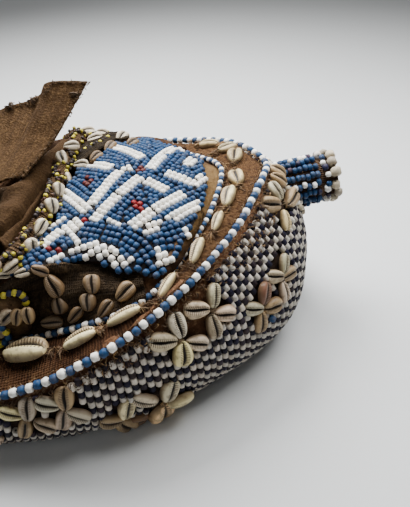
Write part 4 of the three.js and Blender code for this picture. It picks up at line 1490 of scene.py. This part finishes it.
# Plain weave: threads both ways, a little uneven, with dust and darker stains, and painted shade on the
# cloth beneath the flap
hood_finish = Finish("hood raffia", Roughness=0.92, Specular_IOR_Level=0.1)
warp = hood_finish.ribs("X", RIB_SCALE / WEAVE_PITCH, 1.2)
weft = hood_finish.ribs("Y", RIB_SCALE / WEAVE_PITCH, 1.2)
fuzz = hood_finish.noise(600, 4)
streak = hood_finish.noise(320, 4, stretch=(1, 0.12, 1), uv=True)
stain = hood_finish.noise(22, 4)
hood_finish.coloured(
    HOOD_DARK,
    (warp.math("MAXIMUM", warp, weft) * 0.12 + fuzz.between(0.3, 0.7) * 0.6 + 0.2, HOOD_MID),
    (streak.between(0.40, 0.62) * 0.5, HOOD_DARK),
    (fuzz.between(0.5, 0.75) * streak.between(0.6, 0.4) * 0.6, HOOD_LIGHT),
    (stain.between(0.5, 0.75) * 0.5, HOOD_DARK),
    (hood_finish.attribute("shade") * fuzz.between(0.2, 0.6), HOOD_DARK))
hood_finish.bump(warp * 0.12 + weft * 0.12 + fuzz * 1.5 + streak, 0.0009)
hood_form = draped(hood_lines(), (90, 90), 3.0, (0.24, 0.22), 0.55)
facing(hood_form, place(-70, 0, -60))
for vert in hood_form.verts:
    pixel = pixel_of(vert.co)
    for start, end in zip(HOOD_CREASE, HOOD_CREASE[1:]):
        start, end = Vector((*start, 0)), Vector((*end, 0))
        share = max(0, min(1, (pixel - start).dot(end - start) / (end - start).length_squared))
        off = (pixel - start.lerp(end, share)).length
        depth = CREASE_DEPTH * MM * math.exp(-(off / CREASE_REACH) ** 2)
        vert.co.z -= depth * (0.5 if 0 < share < 1 else 0.3)
flap_form = draped(flap_lines(), (140, 80), 2.0, (0.20, 0.09), 0.0)
facing(flap_form, place(-60, 20, 400))
flap_form.normal_update()
flap_seen = Seen([(face.calc_center_median(), -face.normal) for face in flap_form.faces])
hood_form.from_mesh(as_mesh(flap_form, "flap"))
FLAP_RIM = [(4, 110), (14, 106), (31, 102.5), (40, 97), (46, 93), (48, 86), (54, 82.5), (70, 82),
            (85, 83), (81, 96), (73, 112), (66, 126), (57, 136), (48, 144), (38, 157), (30, 168),
            (22, 179), (8, 180)]
HOOD_KNOTS = [(12, 107), (74, 94), (33, 102)]
KNOT_BROWN = (0.045, 0.026, 0.012)
THREAD_BROWN = (0.16, 0.09, 0.035)
hood_threads = []
for centre in HOOD_KNOTS:
    point, out = flap_seen.at(*centre)
    for _ in range(18):
        way = Vector([chance.uniform(-1, 1) for _ in range(3)])
        spot = point + out * 1.2 * MM + way * MM
        hood_threads.append(set_down(spot, way, way.cross(out).cross(way),
                                     (chance.uniform(2, 5.5), 0.7, chance.uniform(0.5, 2))))
hood_thread_tints = [varied(KNOT_BROWN, 0.4) for _ in hood_threads]
for start, end in zip(FLAP_RIM, FLAP_RIM[1:]):
    for _ in range(int((Vector(end) - Vector(start)).length * 0.9)):
        point, out = flap_seen.at(*Vector(start).lerp(Vector(end), chance.random()))
        way = Vector([chance.uniform(-1, 1) for _ in range(3)])
        hood_threads.append(set_down(point, way, way.cross(out).cross(way),
                                     (chance.uniform(1.2, 3.6), 0.35, chance.uniform(0.5, 2))))
        hood_thread_tints.append(varied(THREAD_BROWN, 0.5))
sew_threads("hood_threads", hood_threads, hood_thread_tints)
hood = thick(piece("hood", hood_form, hood_finish, ["hood_cloth"]), CLOTH_THICKNESS)
hood.modifiers["thickness"].offset = 0

# Crown tube: a socket of rolled cloth for a feather crest. Strands of blue beads, some with
# white ones, lie along it, and rings of larger cream beads are sewn round its mouth and root.
TUBE_RADIUS = 15.0
TUBE_BORE = 12.6
TUBE_ROOT = -14
TUBE_STRANDS = 16
STRAND_BEADS = 12
ROOT_BEADS = 34
STRAND_KINDS = ("blue", "mixed", "blue", "mixed", "blue", "turns", "mixed", "blue")
TUBE_PITCH = 3.7
TUBE_BEAD = 4.9
CREAM_BEAD = (0.58, 0.50, 0.36)
GREY_BEAD = (0.36, 0.32, 0.25)
BEAD_PLUM = (0.03, 0.016, 0.04)
TUBE_BLUES = [BEAD_BLUE] * 9 + [BEAD_NAVY, BEAD_PLUM]
TUBE_PROFILE = [(TUBE_ROOT, TUBE_BORE), (TUBE_ROOT, TUBE_RADIUS), (TUBE_REACH - 8, TUBE_RADIUS),
                (TUBE_REACH - 4, TUBE_RADIUS + 1), (TUBE_REACH - 1, TUBE_RADIUS + 1.5),
                (TUBE_REACH, TUBE_BORE + 1.5), (TUBE_REACH - 2, TUBE_BORE), (TUBE_ROOT, TUBE_BORE)]
TUBE_DARK = (0.03, 0.018, 0.011)
TUBE_MID = (0.16, 0.09, 0.05)
TUBE_LIGHT = (0.30, 0.19, 0.10)
tube_finish = ribbed_finish("tube cloth", TUBE_DARK, TUBE_MID, TUBE_LIGHT, 1.6)
tube_axis = Vector((math.cos(TUBE_TILT), 0, math.sin(TUBE_TILT)))
tube_up = Vector((-math.sin(TUBE_TILT), 0, math.cos(TUBE_TILT)))


def tube_point(reach, angle, radius):
    side = tube_up * math.cos(angle) + Vector((0, math.sin(angle), 0))
    return place(TUBE_FOOT, 0, TUBE_HEIGHT) + (tube_axis * reach + side * radius) * MM


def tube_spot(a, b):
    share = b * (len(TUBE_PROFILE) - 1)
    first = min(int(share), len(TUBE_PROFILE) - 2)
    (reach, radius), (next_reach, next_radius) = TUBE_PROFILE[first:first + 2]
    reach += (next_reach - reach) * (share - first)
    radius += (next_radius - radius) * (share - first)
    return tube_point(reach, 2 * math.pi * a, radius + 0.4 * math.sin(18 * math.pi * a + reach / 3))


tube_form = gridded((64, 56), tube_spot, closed=True, flat_of=lambda a, b: (a * 0.1, b * 0.13))
bmesh.ops.recalc_face_normals(tube_form, faces=tube_form.faces)
piece("crown_tube_cloth", tube_form, tube_finish, ["crown_tube"])
tube_spots = []
tube_tints = []


def tube_ring(reach, radius, count, size, colours, loose):
    """A ring of beads round the tube, each a little out of line"""
    for k in range(count):
        angle = 2 * math.pi * k / count + chance.uniform(-loose, loose) / radius
        centre = tube_point(reach + chance.uniform(-loose, loose), angle, radius)
        out = (centre - tube_point(reach, 0, 0)).normalized()
        width = size * chance.uniform(0.74, 1.08)
        tube_spots.append(set_down(centre, out.cross(tube_axis), out, (width * 0.9, width, width)))
        tube_tints.append(varied(colours[k % len(colours)], 0.14))


for number in range(TUBE_STRANDS):
    kind = STRAND_KINDS[number % len(STRAND_KINDS)]
    for k in range(STRAND_BEADS):
        reach = TUBE_REACH - 15.5 - k * TUBE_PITCH + chance.uniform(-0.5, 0.5)
        angle = 2 * math.pi * (number + chance.uniform(-0.14, 0.14)) / TUBE_STRANDS
        centre = tube_point(reach, angle, TUBE_RADIUS + 1.7 + chance.uniform(-0.3, 0.4))
        out = (centre - tube_point(reach, 0, 0)).normalized()
        width = TUBE_BEAD * chance.uniform(0.86, 1.04)
        tube_spots.append(set_down(centre, tube_axis, out, (TUBE_PITCH * 0.94, width, width)))
        white = kind == "turns" and k % 2 or kind == "mixed" and chance.random() < 0.4
        tube_tints.append(varied(BEAD_WHITE if white else chance.choice(TUBE_BLUES), 0.2))
tube_ring(TUBE_REACH - 8.6, TUBE_RADIUS + 2.2, 20, 5.0,
          (BEAD_BLUE, BEAD_WHITE, BEAD_NAVY, BEAD_WHITE), 0.9)
tube_ring(TUBE_REACH - 2.6, TUBE_RADIUS + 2.4, 14, 7.6, (CREAM_BEAD, GREY_BEAD, CREAM_BEAD), 1.4)
crown_wall = [(turn, row, surface(turn, row)) for turn in np.linspace(-0.8, 0.8, 65)
              for row in np.linspace(0.3, 0.97, 60)]
for k in range(ROOT_BEADS):
    target = tube_point(0, 2 * math.pi * k / ROOT_BEADS, TUBE_RADIUS + chance.uniform(4.0, 7.5))
    turn, row, point = min(crown_wall, key=lambda spot: (spot[2].yz - target.yz).length)
    out = directions(turn, row)[2]
    tube_spots.append(set_down(point + out * 1.6 * MM, out.orthogonal(), out, (3.8, 4.8, 4.8)))
    tube_tints.append(varied(chance.choice((BEAD_WHITE, CREAM_BEAD, CREAM_BEAD)), 0.14))
sew_beads("crown_tube_beads", tube_spots, tube_tints)
